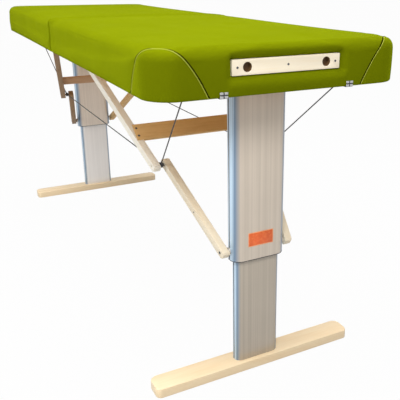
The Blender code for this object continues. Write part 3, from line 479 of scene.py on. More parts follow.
def make_brushed(name, body, line):
    """Brushed profile, warm on its flat faces. On its rounded sides a cool cast is painted reflection, a
    bright line is painted highlight, and the groove's dark floor is painted shade.
    """
    graph, shader = new_material(name)
    place = graph.place()
    colours = bpy.context.scene.table_colours
    lines = graph.group("Brushed lines", {"Vector": place, "Scale": 190.0})
    patches = graph.patches(place, scale=7.0, low=0.0, high=0.25)
    depth = graph.math("ADD", graph.math("MULTIPLY", lines["Line"], LINE_DEPTH), patches)
    facing = graph.add("SeparateXYZ", {0: graph.add("TexCoord").outputs["Normal"]}).outputs["Y"]
    aside = graph.math("ABSOLUTE", facing, 0.0)
    flat = graph.mix(depth, opaque(body), opaque(line))
    # Painted reflection and painted highlight on the rounded sides, set by how far each face turns sideways
    shaded = graph.mix(graph.span(aside, *PAINTED_REFLECTION_TURN), flat, opaque(colours.aluminium_cool))
    lit = graph.mix(graph.span(aside, *PAINTED_HIGHLIGHT_TURN), shaded, opaque(colours.aluminium_pale))
    across = graph.add("SeparateXYZ", {0: place}).outputs["X"]
    from_middle = graph.math("SUBTRACT", graph.math("ABSOLUTE", across, 0.0), COLUMN_MIDDLE)
    # Painted shade on the floor of the side groove
    groove = graph.span(graph.math("ABSOLUTE", from_middle, 0.0), *GROOVE_SHADE_EDGE, 1.0, 0.0)
    groove_shade_mask = graph.math("MULTIPLY", groove, graph.span(aside, *GROOVE_SHADE_TURN))
    tone = graph.mix(groove_shade_mask, lit, opaque(colours.aluminium_groove))
    shine = graph.span(lines["Line"], 0.0, 1.0, PROFILE_ROUGH - 0.05, PROFILE_ROUGH + 0.07)
    graph.fill(shader, {"Base Color": tone, "Roughness": shine, "Metallic": 0.22})
    graph.bump(shader, lines["Height"], distance=0.00004, strength=0.35)


def make_steel(name, body, rough, metallic=1.0):
    """Steel with duller patches and bright edges."""
    graph, shader = new_material(name)
    place = graph.place()
    patches = graph.patches(place, scale=90.0, low=0.0, high=0.40)
    tone = graph.mix(patches, opaque(body), opaque(tinted(body, gain=0.72)))
    bright = clamped(tinted(body, gain=1.25, lift=0.03))
    rubbed = graph.rubbed(tone, place, scale=300.0, share=0.7, pale=bright)
    shine = graph.patches(place, scale=240.0, low=rough - 0.06, high=rough + 0.08)
    graph.fill(shader, {"Base Color": rubbed, "Roughness": shine, "Metallic": metallic})
    graph.bump(shader, graph.noise(place, scale=1400.0, detail=2.0), distance=0.00003, strength=0.3)


def make_cable_steel(name, body):
    """Steel cable: strands that wind round it, seen as slanting ridges."""
    graph, shader = new_material(name)
    place = graph.place()
    values = {"Vector": place, "Scale": 420.0, "Distortion": 0.6}
    strands = graph.add("TexWave", values, bands_direction="DIAGONAL").outputs[1]
    tone = graph.mix(strands, opaque(tinted(body, gain=0.45)), opaque(body))
    shine = graph.patches(place, scale=60.0, low=0.34, high=0.50)
    graph.fill(shader, {"Base Color": tone, "Roughness": shine, "Metallic": 0.85})
    graph.bump(shader, strands, distance=0.0003, strength=0.6)


def make_plastic(name, body, rough):
    """Moulded plastic with greyer patches and pale edges."""
    graph, shader = new_material(name)
    place = graph.place()
    patches = graph.patches(place, scale=25.0, low=0.0, high=0.5)
    tone = graph.mix(patches, opaque(body), opaque(tinted(body, gain=1.6, lift=0.01)))
    pale = clamped(tinted(body, gain=2.4, lift=0.05))
    rubbed = graph.rubbed(tone, place, scale=120.0, share=0.35, pale=pale)
    shine = graph.patches(place, scale=60.0, low=rough - 0.06, high=rough + 0.08)
    graph.fill(shader, {"Base Color": rubbed, "Roughness": shine})
    graph.bump(shader, graph.noise(place, scale=1600.0, detail=2.0), distance=0.00006, strength=0.4)


def make_finishes():
    """Build the shared node groups, then every material."""
    for build in (group_patches, group_leather, group_wood, group_brushed, group_wear):
        build()
    colours = bpy.context.scene.table_colours
    make_vinyl("lime_vinyl", colours.upholstery, colours.upholstery_deep, VINYL_ROUGH, VINYL_SHEEN)
    # The welt's paler green is a painted highlight, and the near-black green of the tube beside it is a
    # painted shadow
    make_vinyl("seam_welt", colours.seam, colours.upholstery, VINYL_ROUGH, VINYL_SHEEN)
    shade = tinted(colours.upholstery_deep, gain=0.18)
    make_vinyl("seam_shade", shade, tinted(shade, gain=0.7), SEAM_SHADE_ROUGH, sheen=0.0)
    for name, light, dark, along, kind in WOODS:
        make_wood(name, getattr(colours, light), getattr(colours, dark), along, **kind)
    # Lit and shaded copies of one anodised aluminium: the near outer profile is plain, the near inner one
    # darker (painted shade), the far ones lighter (painted light)
    make_brushed("near_outer_aluminium", colours.aluminium, colours.aluminium_line)
    make_brushed("near_inner_aluminium", colours.inner_aluminium, colours.inner_aluminium_line)
    make_brushed("far_outer_aluminium", colours.far_aluminium, tinted(colours.far_aluminium, FAR_LINE_SHARE))
    bright_line = tinted(colours.aluminium_bright, FAR_LINE_SHARE)
    make_brushed("far_inner_aluminium", colours.aluminium_bright, bright_line)
    make_steel("plated_steel", colours.plated_steel, rough=0.26)
    make_steel("dark_steel", colours.dark_steel, rough=0.42, metallic=0.8)
    make_cable_steel("cable_steel", colours.cable)
    make_plastic("black_plastic", colours.plastic, rough=0.50)
    make_plastic("socket_brown", colours.socket, rough=0.55)
    make_plastic("plate_orange", colours.plate, rough=0.38)
    make_plastic("plate_rim", colours.plate_rim, rough=0.40)


def finish(name):
    if name not in bpy.data.materials:
        raise RuntimeError(f"the finish {name} has not been made")
    return bpy.data.materials[name]


# Meshes

WELD = 0.01 * MILLIMETRE
FLAT_ANGLE = math.radians(1.0)
SHARP_ANGLE = math.radians(32.0)
# A screw head's outline: sixths of its radius along the axis, and shares of its radius
SCREW_OUTLINE = ((-3.0, 0.5), (0.0, 1.0), (1.0, 0.96), (1.6, 0.78), (1.6, 0.42), (0.2, 0.22), (0.2, 0.04))
SCREW_SIDES = 16
TUBE_SIDES = 8


def add_piece(name, mesh, material, body=None, smooth_angle=40.0):
    """Turn a bmesh into a named object that rides on a body of the frame."""
    data = bpy.data.meshes.new(name)
    mesh.to_mesh(data)
    mesh.free()
    data.materials.clear()
    data.materials.append(finish(material))
    data.shade_smooth()
    data.set_sharp_from_angle(angle=math.radians(smooth_angle))
    piece = bpy.data.objects.new(name, data)
    bpy.context.scene.collection.objects.link(piece)
    if body:
        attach(piece, body)
    return piece


def quads_between(mesh, first, second):
    """Join two closed rings of the same count with quads."""
    count = len(first)
    for index in range(count):
        after = (index + 1) % count
        mesh.faces.new((first[index], first[after], second[after], second[index]))


def add_round(mesh, stations, sides):
    """Add a round skin with closed ends through stations of centre, turn, radius and distance along."""
    rings = []
    for centre, turn, radius, along in stations:
        angles = [2 * math.pi * step / sides for step in range(sides)]
        spokes = [Vector((radius * math.cos(angle), radius * math.sin(angle), along)) for angle in angles]
        rings.append([mesh.verts.new(centre + turn @ spoke) for spoke in spokes])
    for first, second in zip(rings, rings[1:]):
        quads_between(mesh, first, second)
    mesh.faces.new(rings[0][::-1])
    mesh.faces.new(rings[-1])


def turn_to(direction):
    """The turn that carries Z to a direction."""
    return direction.to_track_quat("Z", "Y").to_matrix()


def add_turned(mesh, centre, axis, profile, sides):
    """Add a solid turned about an axis, from (distance along it, radius) pairs."""
    turn = turn_to(Vector(axis))
    add_round(mesh, [(Vector(centre), turn, radius, along) for along, radius in profile], sides)


def add_tube(mesh, points, radius):
    """Add a round tube along a list of points."""
    runs = zip(points[:1] + points[:-1], points[1:] + points[-1:])
    turns = [turn_to(after - before) for before, after in runs]
    add_round(mesh, [(point, turn, radius, 0.0) for point, turn in zip(points, turns)], TUBE_SIDES)


def add_block(mesh, low, high, edge, segments=2):
    """Add a box between two corners with rounded edges."""
    made = bmesh.ops.create_cube(mesh, size=1.0)["verts"]
    size = [high[axis] - low[axis] for axis in range(3)]
    middle = [(high[axis] + low[axis]) / 2 for axis in range(3)]
    place = Matrix.Translation(middle) @ Matrix.Diagonal((*size, 1.0))
    bmesh.ops.transform(mesh, matrix=place, verts=made)
    edges = list(dict.fromkeys(line for vert in made for line in vert.link_edges))
    bmesh.ops.bevel(mesh, geom=edges, offset=edge, segments=segments, profile=0.5, affect="EDGES")


def add_screw(mesh, centre, axis, radius):
    """Add a flat screw head with a dished recess, standing a little proud."""
    step = radius / 6
    profile = [(along * step, share * radius) for along, share in SCREW_OUTLINE]
    add_turned(mesh, centre, axis, profile, SCREW_SIDES)


def frame_mesh(node):
    """Copy a frame node's mesh, with the corners that its faces share joined."""
    mesh = bmesh.new()
    mesh.from_mesh(frame["nodes"][node].data)
    bmesh.ops.remove_doubles(mesh, verts=mesh.verts, dist=WELD)
    return mesh


def refine(node, material, edge, segments=3):
    """Rebuild a frame node with rounded edges and smooth shading, in its own place."""
    source = frame["nodes"][node]
    mesh = frame_mesh(node)
    bmesh.ops.dissolve_limit(mesh, angle_limit=FLAT_ANGLE, verts=mesh.verts, edges=mesh.edges)
    sharp = [line for line in mesh.edges if line.is_manifold and line.calc_face_angle() > SHARP_ANGLE]
    bmesh.ops.bevel(
        mesh, geom=sharp, offset=edge, segments=segments, profile=0.5, affect="EDGES", clamp_overlap=True
    )
    piece = add_piece(node + "_finished", mesh, material, source.parent.name.removeprefix("body:"))
    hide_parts(node)


# The sewn cover

# Counts of points and rings
SIDE_POINTS = 85
ARC_POINTS = 19
SPLIT_ARC_POINTS = 5
BOARD_STEPS = 24
END_OUTER_STEPS = 13
ROLL_STEPS = 9
SIDE_RINGS = 6
LIP_RINGS = 6
WINDOW_RINGS = 6
HELD_OUTER_RINGS = 4
SEAM_POINTS = 90
SEAM_CHUNKS = 40
SETTLE_FRAMES = 16
# Distances of the rows of points round the headrest board from it
POCKET_STEPS = (0.0015, 0.0035, 0.0065, 0.010, 0.014, 0.018, 0.023, 0.029, 0.036)
# Gaps between the skin and the pieces in it
BOARD_GAP = 0.0005
SKIN_GAP = 0.00015
TOP_GAP = 0.0002
# The split side: its corner against the rail, its flange, and how far along the cover it fades out
SPLIT_RAIL_CORNER = 0.0006
SPLIT_FLANGE = 0.00005
SPLIT_FADE = 0.045
# The lift over the hinge: its rise and height, its ends and depth, and how far it may squeeze the skin
HINGE_CLEAR = 0.0080
HINGE_REACH = 0.035
HINGE_MARGIN = 0.024
HINGE_FADE = 0.020
HINGE_DEPTH = 0.004
HINGE_SQUEEZE = 1.05
# The crown's rise from its edges, and the slight waves in it
CROWN_REACH = 0.22
SPLIT_CROWN_REACH = 0.07
RIPPLE = 0.0003
RIPPLE_LENGTHWISE = 21.0
RIPPLE_CROSSWISE = 17.0
RIPPLE_PHASE = 1.0
# Other shares, angles and reaches
SIDE_BIAS = 0.5
BOTTOM_ANGLES = (0.0, 30.0, 60.0)
POCKET_ROUNDNESS = 0.55
POCKET_ROLLS = 2.2
SEAM_SEARCH = 0.03
SEAM_FOOT = 0.002
SEAM_SPREADS = 3
SEAM_HELD_SHARE = 0.7
COVER_SMOOTH_ANGLE = 70.0
SEAM_SMOOTH_ANGLE = 80.0
# Each line of a seam: its finish, how proud it stands, and its radius and place beside the seam in welt
# radii. The welt's pale finish is a painted highlight, and the gap is a dark tube beside it that is a painted
# shadow of the seam's fold
SEAM_LINES = (("welt", "seam_welt", 0.0002, 1.0, 0.0), ("gap", "seam_shade", -0.0011, 1.9, 2.0))
CLOTH = {
    "quality": 5,
    "mass": 0.3,
    "tension_stiffness": 15.0,
    "compression_stiffness": 12.0,
    "shear_stiffness": 6.0,
    "bending_stiffness": 0.6,
    "use_pressure": True,
}

# Where each stretch of an outline ends: left side, left arc, end, right arc, right side, and so on round
END_POINTS = 2 * (BOARD_STEPS + len(POCKET_STEPS) + END_OUTER_STEPS) + 1
SPLIT_POINTS = END_POINTS + ARC_POINTS - SPLIT_ARC_POINTS
STRETCHES = (
    SIDE_POINTS, ARC_POINTS, END_POINTS, ARC_POINTS,
    SIDE_POINTS, SPLIT_ARC_POINTS, SPLIT_POINTS, SPLIT_ARC_POINTS,
)
STRETCH_ENDS = tuple(accumulate(STRETCHES))
LEFT_ARC, END_START, RIGHT_ARC, RIGHT_SIDE, SPLIT_RIGHT_ARC = STRETCH_ENDS[:5]
SPLIT_LEFT_ARC, RING_POINTS = STRETCH_ENDS[6:]


def side_shares():
    """Shares along a long side, closer together towards the outer corner."""
    evens = [index / (SIDE_POINTS + 1) for index in range(1, SIDE_POINTS + 1)]
    return [even + SIDE_BIAS * math.sin(math.pi * even) / math.pi for even in evens]


def end_places(limit):
    """Places across the end, between -limit and limit, that line up with the board's ends."""
    board = BOARD_HIGH.y + BOARD_GAP
    places = [board * step / BOARD_STEPS for step in range(BOARD_STEPS + 1)]
    places += [board + step for step in POCKET_STEPS]
    last = places[-1]
    places += [last + (limit - last) * step / (END_OUTER_STEPS + 1) for step in range(1, END_OUTER_STEPS + 1)]
    return [-place for place in places[:0:-1]] + places


def arc_points(x, y, radius, start, count):
    """Points of a quarter circle about a centre, from a start in degrees."""
    angles = [math.radians(start + 90.0 * step / (count - 1)) for step in range(count)]
    return [(x + radius * math.cos(angle), y + radius * math.sin(angle)) for angle in angles]


def outline(low_x, high_x, half_y, outer, inner):
    """Outline of a half from above, anticlockwise, starting on the left side at the split."""
    run_from, run_to = low_x + inner, high_x - outer
    end_limit, split_limit = half_y - outer, half_y - inner
    along = [run_from + (run_to - run_from) * share for share in side_shares()]
    split = [split_limit * (1 - 2 * step / (SPLIT_POINTS + 1)) for step in range(1, SPLIT_POINTS + 1)]
    points = [(x, -half_y) for x in along]
    points += arc_points(run_to, -end_limit, outer, 270.0, ARC_POINTS)
    points += [(high_x, y) for y in end_places(end_limit)]
    points += arc_points(run_to, end_limit, outer, 0.0, ARC_POINTS)
    points += [(x, half_y) for x in along[::-1]]
    points += arc_points(run_from, split_limit, inner, 90.0, SPLIT_ARC_POINTS)
    points += [(low_x, y) for y in split]
    points += arc_points(run_from, -split_limit, inner, 180.0, SPLIT_ARC_POINTS)
    return np.array(points)


def outward(points):
    """Unit normals of a closed anticlockwise outline."""
    run = np.roll(points, -1, axis=0) - np.roll(points, 1, axis=0)
    run /= np.linalg.norm(run, axis=1)[:, None]
    return np.stack([run[:, 1], -run[:, 0]], axis=1)


def smooth_step(value):
    value = np.clip(value, 0.0, 1.0)
    return value * value * (3.0 - 2.0 * value)


def run_shares(points):
    """Distance along a line of points, from 0 at its start to 1 at its end."""
    steps = np.linalg.norm(np.diff(points, axis=0), axis=1)
    run = np.concatenate([[0.0], np.cumsum(steps)])
    return run / run[-1]


class CoverShape:
    """The skin of one half of the top, as rings of points, before it becomes a mesh."""

    def __init__(self, sizes):
        self.sizes = sizes
        low_x, high_x, half_y = SKIRT_LOW.x, SKIRT_HIGH.x, SKIRT_HIGH.y
        self.edge = outline(low_x, high_x, half_y, sizes.corner_radius, sizes.split_corner_radius)
        self.normal = outward(self.edge)
        self.draw_sides()
        rail_corner = sizes.corner_radius - (SKIRT_HIGH.x - DECK_HIGH.x)
        grown = (DECK_LOW.x - SKIN_GAP, DECK_HIGH.x + SKIN_GAP, DECK_HIGH.y + SKIN_GAP)
        self.rail = outline(*grown, rail_corner, SPLIT_RAIL_CORNER)
        self.rail_normal = outward(self.rail)
        self.split_share = smooth_step(1.0 - (self.edge[:, 0] - low_x) / SPLIT_FADE)
        self.floor = SKIRT_LOW.z - SKIN_GAP - sizes.flange_thickness
        self.top = PAD_HIGH.z - sizes.crown - TOP_GAP
        self.window = (BOARD_LOW.z - BOARD_GAP, BOARD_HIGH.z + BOARD_GAP)

    def draw_sides(self):
        """Pull the long sides in a little between their corners."""
        pull = self.sizes.draw_in * np.sin(np.pi * np.array(side_shares()))
        self.edge[:SIDE_POINTS, 1] += pull
        self.edge[RIGHT_SIDE:SPLIT_RIGHT_ARC, 1] -= pull[::-1]

    def split_mix(self, general, at_split):
        return general + (at_split - general) * self.split_share

    def hinge_lift(self, height):
        """Raise the foot of the split side over the hinge, fading out beyond the hinge's ends."""
        inside = smooth_step((LEAF_HIGH.y + HINGE_MARGIN - np.abs(self.edge[:, 1])) / HINGE_FADE)
        inside *= self.edge[:, 0] < DECK_LOW.x + HINGE_DEPTH
        squeeze = np.clip((SKIRT_LOW.z + HINGE_REACH - height) / HINGE_REACH, 0.0, None)
        return height + inside * HINGE_CLEAR * np.minimum(squeeze, HINGE_SQUEEZE)

    def ring(self, points, height):
        height = self.hinge_lift(np.broadcast_to(height, len(points)))
        return np.column_stack([points, height])

    def inner_rings(self):
        """Rings against the deck and rails, from the deck's top to the stapled flange's tip."""
        window_low, window_high = self.window
        underside = SKIRT_LOW.z - SKIN_GAP
        window = np.linspace(window_high, window_low, WINDOW_RINGS + 1)
        rings = [self.ring(self.rail, height) for height in (DECK_HIGH.z + SKIN_GAP, *window, underside)]
        width = self.split_mix(self.sizes.flange_width, SPLIT_FLANGE)[:, None]
        tip = self.rail - self.rail_normal * width
        return rings + [self.ring(tip, underside), self.ring(tip, self.floor)]

    def outer_rings(self):
        """Rings from the lower edge, up the padded side and over the rolled top edge."""
        sizes = self.sizes
        window_low, window_high = self.window
        side_foot = self.floor + sizes.bottom_round

        def swell_at(height):
            return sizes.belly * math.sin(math.pi * (height - side_foot) / (self.top - side_foot))

        rings = []
        for angle in np.radians(BOTTOM_ANGLES):
            inset = sizes.bottom_round * (1 - math.sin(angle))
            rise = sizes.bottom_round * (1 - math.cos(angle))
            rings.append(self.ring(self.edge - self.normal * inset, self.floor + rise))
        lip = window_low - np.array(POCKET_STEPS[LIP_RINGS - 1 :: -1])
        heights = list(np.linspace(side_foot, lip[0], SIDE_RINGS, endpoint=False))
        heights += list(lip) + list(np.linspace(window_low, window_high, WINDOW_RINGS + 1))
        for height in heights:
            rings.append(self.ring(self.edge + self.normal * swell_at(height), height))
        self.window_low_ring = len(rings) - 1 - WINDOW_RINGS
        width = self.split_mix(sizes.roll_width, sizes.split_roll_width)[:, None]
        drop = self.split_mix(sizes.roll_height, sizes.split_roll_height)
        swell = swell_at(window_high)
        for angle in np.radians(np.linspace(0.0, 90.0, ROLL_STEPS)):
            inset = width * (1 - math.cos(angle)) - swell * math.cos(angle)
            rings.append(self.ring(self.edge - self.normal * inset, self.top - drop * (1 - math.sin(angle))))
        return rings

    def fill(self, ring, height_of):
        """Fill a ring with a grid of points, as a patch between its four sides."""
        start = SPLIT_LEFT_ARC + SPLIT_ARC_POINTS // 2
        order = np.roll(np.arange(RING_POINTS), -start)
        shift = RING_POINTS - start
        end_left = LEFT_ARC + ARC_POINTS // 2 + shift
        end_right = RIGHT_ARC + ARC_POINTS // 2 + shift
        split_right = SPLIT_RIGHT_ARC + SPLIT_ARC_POINTS // 2 + shift
        bottom = order[: end_left + 1]
        right = order[end_left : end_right + 1]
        top = order[end_right : split_right + 1][::-1]
        left = np.append(order[split_right:], order[0])[::-1]
        flat = ring[:, :2]
        u = run_shares(flat[bottom])[:, None]
        v = (1 - u) * run_shares(flat[left])[None, :] + u * run_shares(flat[right])[None, :]
        u = u[:, :, None]
        v = v[:, :, None]
        sides = (1 - v) * flat[bottom][:, None] + v * flat[top][:, None]
        ends = (1 - u) * flat[left][None] + u * flat[right][None]
        corners = (1 - u) * ((1 - v) * flat[bottom[0]] + v * flat[top[0]])
        corners = corners + u * ((1 - v) * flat[bottom[-1]] + v * flat[top[-1]])
        inner = (sides + ends - corners)[1:-1, 1:-1]
        heights = height_of(inner.reshape(-1, 2)).reshape(inner.shape[:2])
        return (bottom, right, top, left), np.dstack([inner, heights])

    def crown_height(self, points):
        """Height of the crowned top: it rises from the rolled edge towards the middle."""
        sizes = self.sizes
        x, y = points.T
        from_end = SKIRT_HIGH.x - sizes.roll_width - x
        from_side = SKIRT_HIGH.y - sizes.roll_width - np.abs(y)
        from_split = x - SKIRT_LOW.x - sizes.split_roll_width
        share = np.ones(len(points))
        rises = ((from_end, CROWN_REACH), (from_side, CROWN_REACH), (from_split, SPLIT_CROWN_REACH))
        for distance, reach in rises:
            share *= np.sin(np.pi / 2 * np.clip(distance / reach, 0.0, 1.0))
        ripple = RIPPLE * np.sin(x * RIPPLE_LENGTHWISE + RIPPLE_PHASE) * np.sin(y * RIPPLE_CROSSWISE)
        return self.top + (sizes.crown + ripple) * share

    def pocket(self, points):
        """Press the end in round the headrest board, and puff the lip out below it."""
        sizes = self.sizes
        window_low, window_high = self.window
        over_y = np.maximum(np.abs(points[:, 1]) - BOARD_HIGH.y - BOARD_GAP, 0.0)
        below = np.maximum(window_low - points[:, 2], 0.0)
        above = np.maximum(points[:, 2] - window_high, 0.0)
        distance = np.sqrt(over_y**2 + below**2 + above**2)
        downward = below / np.maximum(distance, 1e-6)
        reach = sizes.pocket_reach + (sizes.lip_reach - sizes.pocket_reach) * downward
        share = np.clip(distance / reach, 0.0, 1.0)
        puffed = 1.0 - np.sqrt(1.0 - (1.0 - share) ** 2)
        roundness = POCKET_ROUNDNESS + (1.0 - POCKET_ROUNDNESS) * downward
        dent = roundness * puffed + (1.0 - roundness) * (1.0 - smooth_step(share))
        at_end = points[:, 0] > SKIRT_HIGH.x - POCKET_ROLLS * sizes.roll_width
        points[:, 0] -= sizes.pocket_depth * dent * at_end
        beside = 1.0 - smooth_step(over_y / sizes.lip_reach)
        bulge = np.sin(np.pi * np.clip(below / (2.0 * sizes.lip_reach), 0.0, 1.0)) ** 2
        points[:, 0] += sizes.lip_proud * bulge * beside * at_end
        return points


def cover_mesh(shape, side):
    """Join the rings and both patches into one closed bmesh, with the board's window cut through.

    Return it with the numbers of the points that are stapled, glued or sewn to something.
    """
    inner = shape.inner_rings()
    outer = shape.outer_rings()
    if side > 0:
        outer = [shape.pocket(ring) for ring in outer]
    mesh = bmesh.new()
    flip = np.array((side, 1.0, 1.0))
    rings = [[mesh.verts.new(point) for point in ring * flip] for ring in inner + outer]
    window_from = END_START + END_OUTER_STEPS + len(POCKET_STEPS)
    window_to = window_from + 2 * BOARD_STEPS
    outer_from = len(inner) + shape.window_low_ring
    window_levels = (*range(1, 1 + WINDOW_RINGS), *range(outer_from, outer_from + WINDOW_RINGS))
    for level, (lower, upper) in enumerate(zip(rings, rings[1:])):
        open_level = side > 0 and level in window_levels
        for index in range(RING_POINTS):
            if open_level and window_from <= index < window_to:
                continue
            after = (index + 1) % RING_POINTS
            mesh.faces.new((lower[index], lower[after], upper[after], upper[index]))
    held = [vert for ring in rings[: len(inner) + HELD_OUTER_RINGS] for vert in ring]
    if side > 0:
        loop = window_loop(window_from, window_to)
        wall_in = [rings[1 + WINDOW_RINGS - step][index] for step, index in loop]
        wall_out = [rings[outer_from + step][index] for step, index in loop]
        quads_between(mesh, wall_out, wall_in)
        held += wall_out
    ceiling = DECK_HIGH.z + SKIN_GAP
    held += fill_ring(mesh, shape, rings[0], inner[0], lambda points: np.full(len(points), ceiling), flip)
    fill_ring(mesh, shape, rings[-1], outer[-1], shape.crown_height, flip)
    bmesh.ops.recalc_face_normals(mesh, faces=mesh.faces)
    mesh.verts.index_update()
    return mesh, [vert.index for vert in held]


def window_loop(first, last):
    """Steps up and points across that go once round the board's window."""
    loop = [(0, index) for index in range(first, last)]
    loop += [(step, last) for step in range(WINDOW_RINGS)]
    loop += [(WINDOW_RINGS, index) for index in range(last, first, -1)]
    loop += [(step, first) for step in range(WINDOW_RINGS, 0, -1)]
    return loop


def fill_ring(mesh, shape, verts, ring, height_of, flip):
    """Close a ring of the mesh with a grid of quads, and return the grid's new points."""
    (bottom, right, top, left), inner = shape.fill(ring, height_of)
    made = [[mesh.verts.new(point) for point in row * flip] for row in inner]
    grid = [[verts[index] for index in left]]
    for first, row, last in zip(bottom[1:-1], made, top[1:-1]):
        grid.append([verts[first], *row, verts[last]])
    grid.append([verts[index] for index in right])
    for row, after in zip(grid, grid[1:]):
        for column in range(len(row) - 1):
            mesh.faces.new((row[column], after[column], after[column + 1], row[column + 1]))
    return [vert for row in made for vert in row]


def seam_path(sizes, hand):
    """Points of a corner panel's arched seam: a parabola laid over the near corner."""
    radius = sizes.corner_radius
    quarter = radius * math.pi / 4
    corner_x = SKIRT_HIGH.x - radius
    corner_y = SKIRT_HIGH.y - radius
    wall = PAD_HIGH.z - sizes.crown - sizes.roll_height - SKIRT_LOW.z
    roll_run = sizes.seam_rise - wall
    points = []
    for step in range(SEAM_POINTS):
        share = 2.0 * step / (SEAM_POINTS - 1) - 1.0
        along = sizes.seam_half_width * share
        rise = sizes.seam_rise * (1.0 - share * share)
        lean = math.radians(90.0) * max(rise - wall, 0.0) / roll_run
        inset = sizes.roll_width * (1.0 - math.cos(lean))
        height = SKIRT_LOW.z + min(rise, wall) + sizes.roll_height * math.sin(lean)
        if along < -quarter:
            x, y = corner_x + along + quarter, SKIRT_HIGH.y - inset
        elif along > quarter:
            x, y = SKIRT_HIGH.x - inset, corner_y - (along - quarter)
        else:
            angle = math.pi / 4 - along / radius
            x = corner_x + (radius - inset) * math.cos(angle)
            y = corner_y + (radius - inset) * math.sin(angle)
        points.append(Vector((x, hand * y, height)))
    return points


def seam_distances(mesh, paths):
    """Distance of each point from the nearest seam, or a large one where it is far from all."""
    places = np.array([vert.co for vert in mesh.verts])
    line = np.array([point for path in paths for point in path])
    distance = np.full(len(places), 1.0)
    beyond = places[:, 0] > line[:, 0].min() - SEAM_SEARCH
    near = np.flatnonzero(beyond & (places[:, 2] > SKIRT_LOW.z + SEAM_FOOT))
    for chunk in np.array_split(near, SEAM_CHUNKS):
        distance[chunk] = np.linalg.norm(places[chunk][:, None] - line[None], axis=2).min(axis=1)
    return distance


def press_seams(mesh, sizes, paths):
    """Sink the skin along the seams, so that the panels puff up beside them."""
    mesh.normal_update()
    mesh.verts.ensure_lookup_table()
    distance = seam_distances(mesh, paths)
    for index in np.flatnonzero(distance < SEAM_SPREADS * sizes.seam_spread):
        vert = mesh.verts[index]
        vert.co -= vert.normal * sizes.seam_valley * math.exp(-((distance[index] / sizes.seam_spread) ** 2))


def mesh_places(data):
    places = np.empty(3 * len(data.vertices))
    data.vertices.foreach_get("co", places)
    return places.reshape(-1, 3)


def settle(cover, held, sizes):
    """Blow the padding up by a cloth simulation: the skin strains between the points that hold it."""
    hold = cover.vertex_groups.new(name="hold")
    hold.add(held, 1.0, "REPLACE")
    cloth = cover.modifiers.new("cloth", "CLOTH")
    for key, value in CLOTH.items():
        setattr(cloth.settings, key, value)
    cloth.settings.uniform_pressure_force = sizes.pressure
    cloth.settings.vertex_group_mass = hold.name
    cloth.settings.effector_weights.gravity = 0.0
    cloth.collision_settings.use_collision = False
    scene = bpy.context.scene
    for step in range(1, SETTLE_FRAMES + 1):
        scene.frame_set(step)
    shaped = cover.evaluated_get(bpy.context.evaluated_depsgraph_get())
    before = mesh_places(cover.data)
    move = mesh_places(shaped.data) - before
    cover.modifiers.remove(cloth)
    cover.vertex_groups.remove(hold)
    scene.frame_set(1)
    length = np.maximum(np.linalg.norm(move, axis=1), 1e-9)
    limit = sizes.settle_limit * np.tanh(length / sizes.settle_limit) / length
    cover.data.vertices.foreach_set("co", (before + move * limit[:, None]).ravel())
    cover.data.update()


# Operators

class TABLE_OT_finishes(bpy.types.Operator):
    """Make the shared node groups and every finish"""

    bl_idname = "massage_table.finishes"
    bl_label = "Make finishes"

    def execute(self, context):
        make_finishes()
        return {"FINISHED"}


class TABLE_OT_covers(bpy.types.Operator):
    """Sew a padded cover over each half of the top"""

    bl_idname = "massage_table.covers"
    bl_label = "Sew covers"

    def execute(self, context):
        sizes = context.scene.table_cover
        paths = [seam_path(sizes, hand) for _, hand in HANDS]
        for prefix, side in ENDS:
            mesh, held = cover_mesh(CoverShape(sizes), side)
            if side > 0:
                press_seams(mesh, sizes, paths)
                sewn = seam_distances(mesh, paths) < SEAM_HELD_SHARE * sizes.seam_spread
                held += [int(index) for index in np.flatnonzero(sewn)]
            cover = add_piece(prefix + "_cover", mesh, "lime_vinyl", None, COVER_SMOOTH_ANGLE)
            settle(cover, held, sizes)
            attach(cover, prefix + "_half")
            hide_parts(prefix + "_pad", prefix + "_skirt")
            if side > 0:
                self.sew_seams(cover, sizes, paths)
        return {"FINISHED"}

    def sew_seams(self, cover, sizes, paths):
        """Lay a pale welt, whose pale colour is a painted highlight, and beside it a dark tube that is a
        painted shadow of the seam's fold, along each seam on the finished skin.
        """
        skin = BVHTree.FromObject(cover, bpy.context.evaluated_depsgraph_get())
        for (hand_name, hand), path in zip(HANDS, paths):
            placed = [skin.find_nearest(point)[:2] for point in path]
            runs = zip(placed, placed[:1] + placed[:-1], placed[1:] + placed[-1:])
            stations = [
                (place, normal, normal.cross(after - before).normalized())
                for (place, normal), (before, _), (after, _) in runs
            ]
            for part, material, proud, thick, aside in SEAM_LINES:
                mesh = bmesh.new()
                shift = -hand * aside * sizes.welt_radius
                points = [place + normal * proud + across * shift for place, normal, across in stations]
                add_tube(mesh, points, sizes.welt_radius * thick)
                seam = add_piece(
                    f"corner_seam_{part}_{hand_name}", mesh, material, "near_half", SEAM_SMOOTH_ANGLE
                )


WOOD_FINISHES = (
    ("{}_foot_bar", "birch_crosswise"),
    # The far cross board's plywood is a darker copy: painted shade
    ("{}_cross_board", "{}_cross_plywood"),
    ("{}_deck", "plywood_lengthwise"),
    ("{}_centre_rail", "plywood_crosswise"),
    ("{}_end_rail", "plywood_crosswise"),
    ("{}_side_rail_left", "plywood_lengthwise"),
    ("{}_side_rail_right", "plywood_lengthwise"),
)
# Each pair of struts, with its finish on the left and on the right
STRUT_FINISHES = (
    # The near upper struts' finish is painted light; the far struts' brown and tan finishes are painted shade
    ("near_upper_strut", "white_birch", "white_birch"),
    ("near_lower_strut", "cream_birch", "cream_birch"),
    ("far_upper_strut", "brown_birch", "tan_birch"),
    ("far_lower_strut", "brown_birch", "tan_birch"),
)


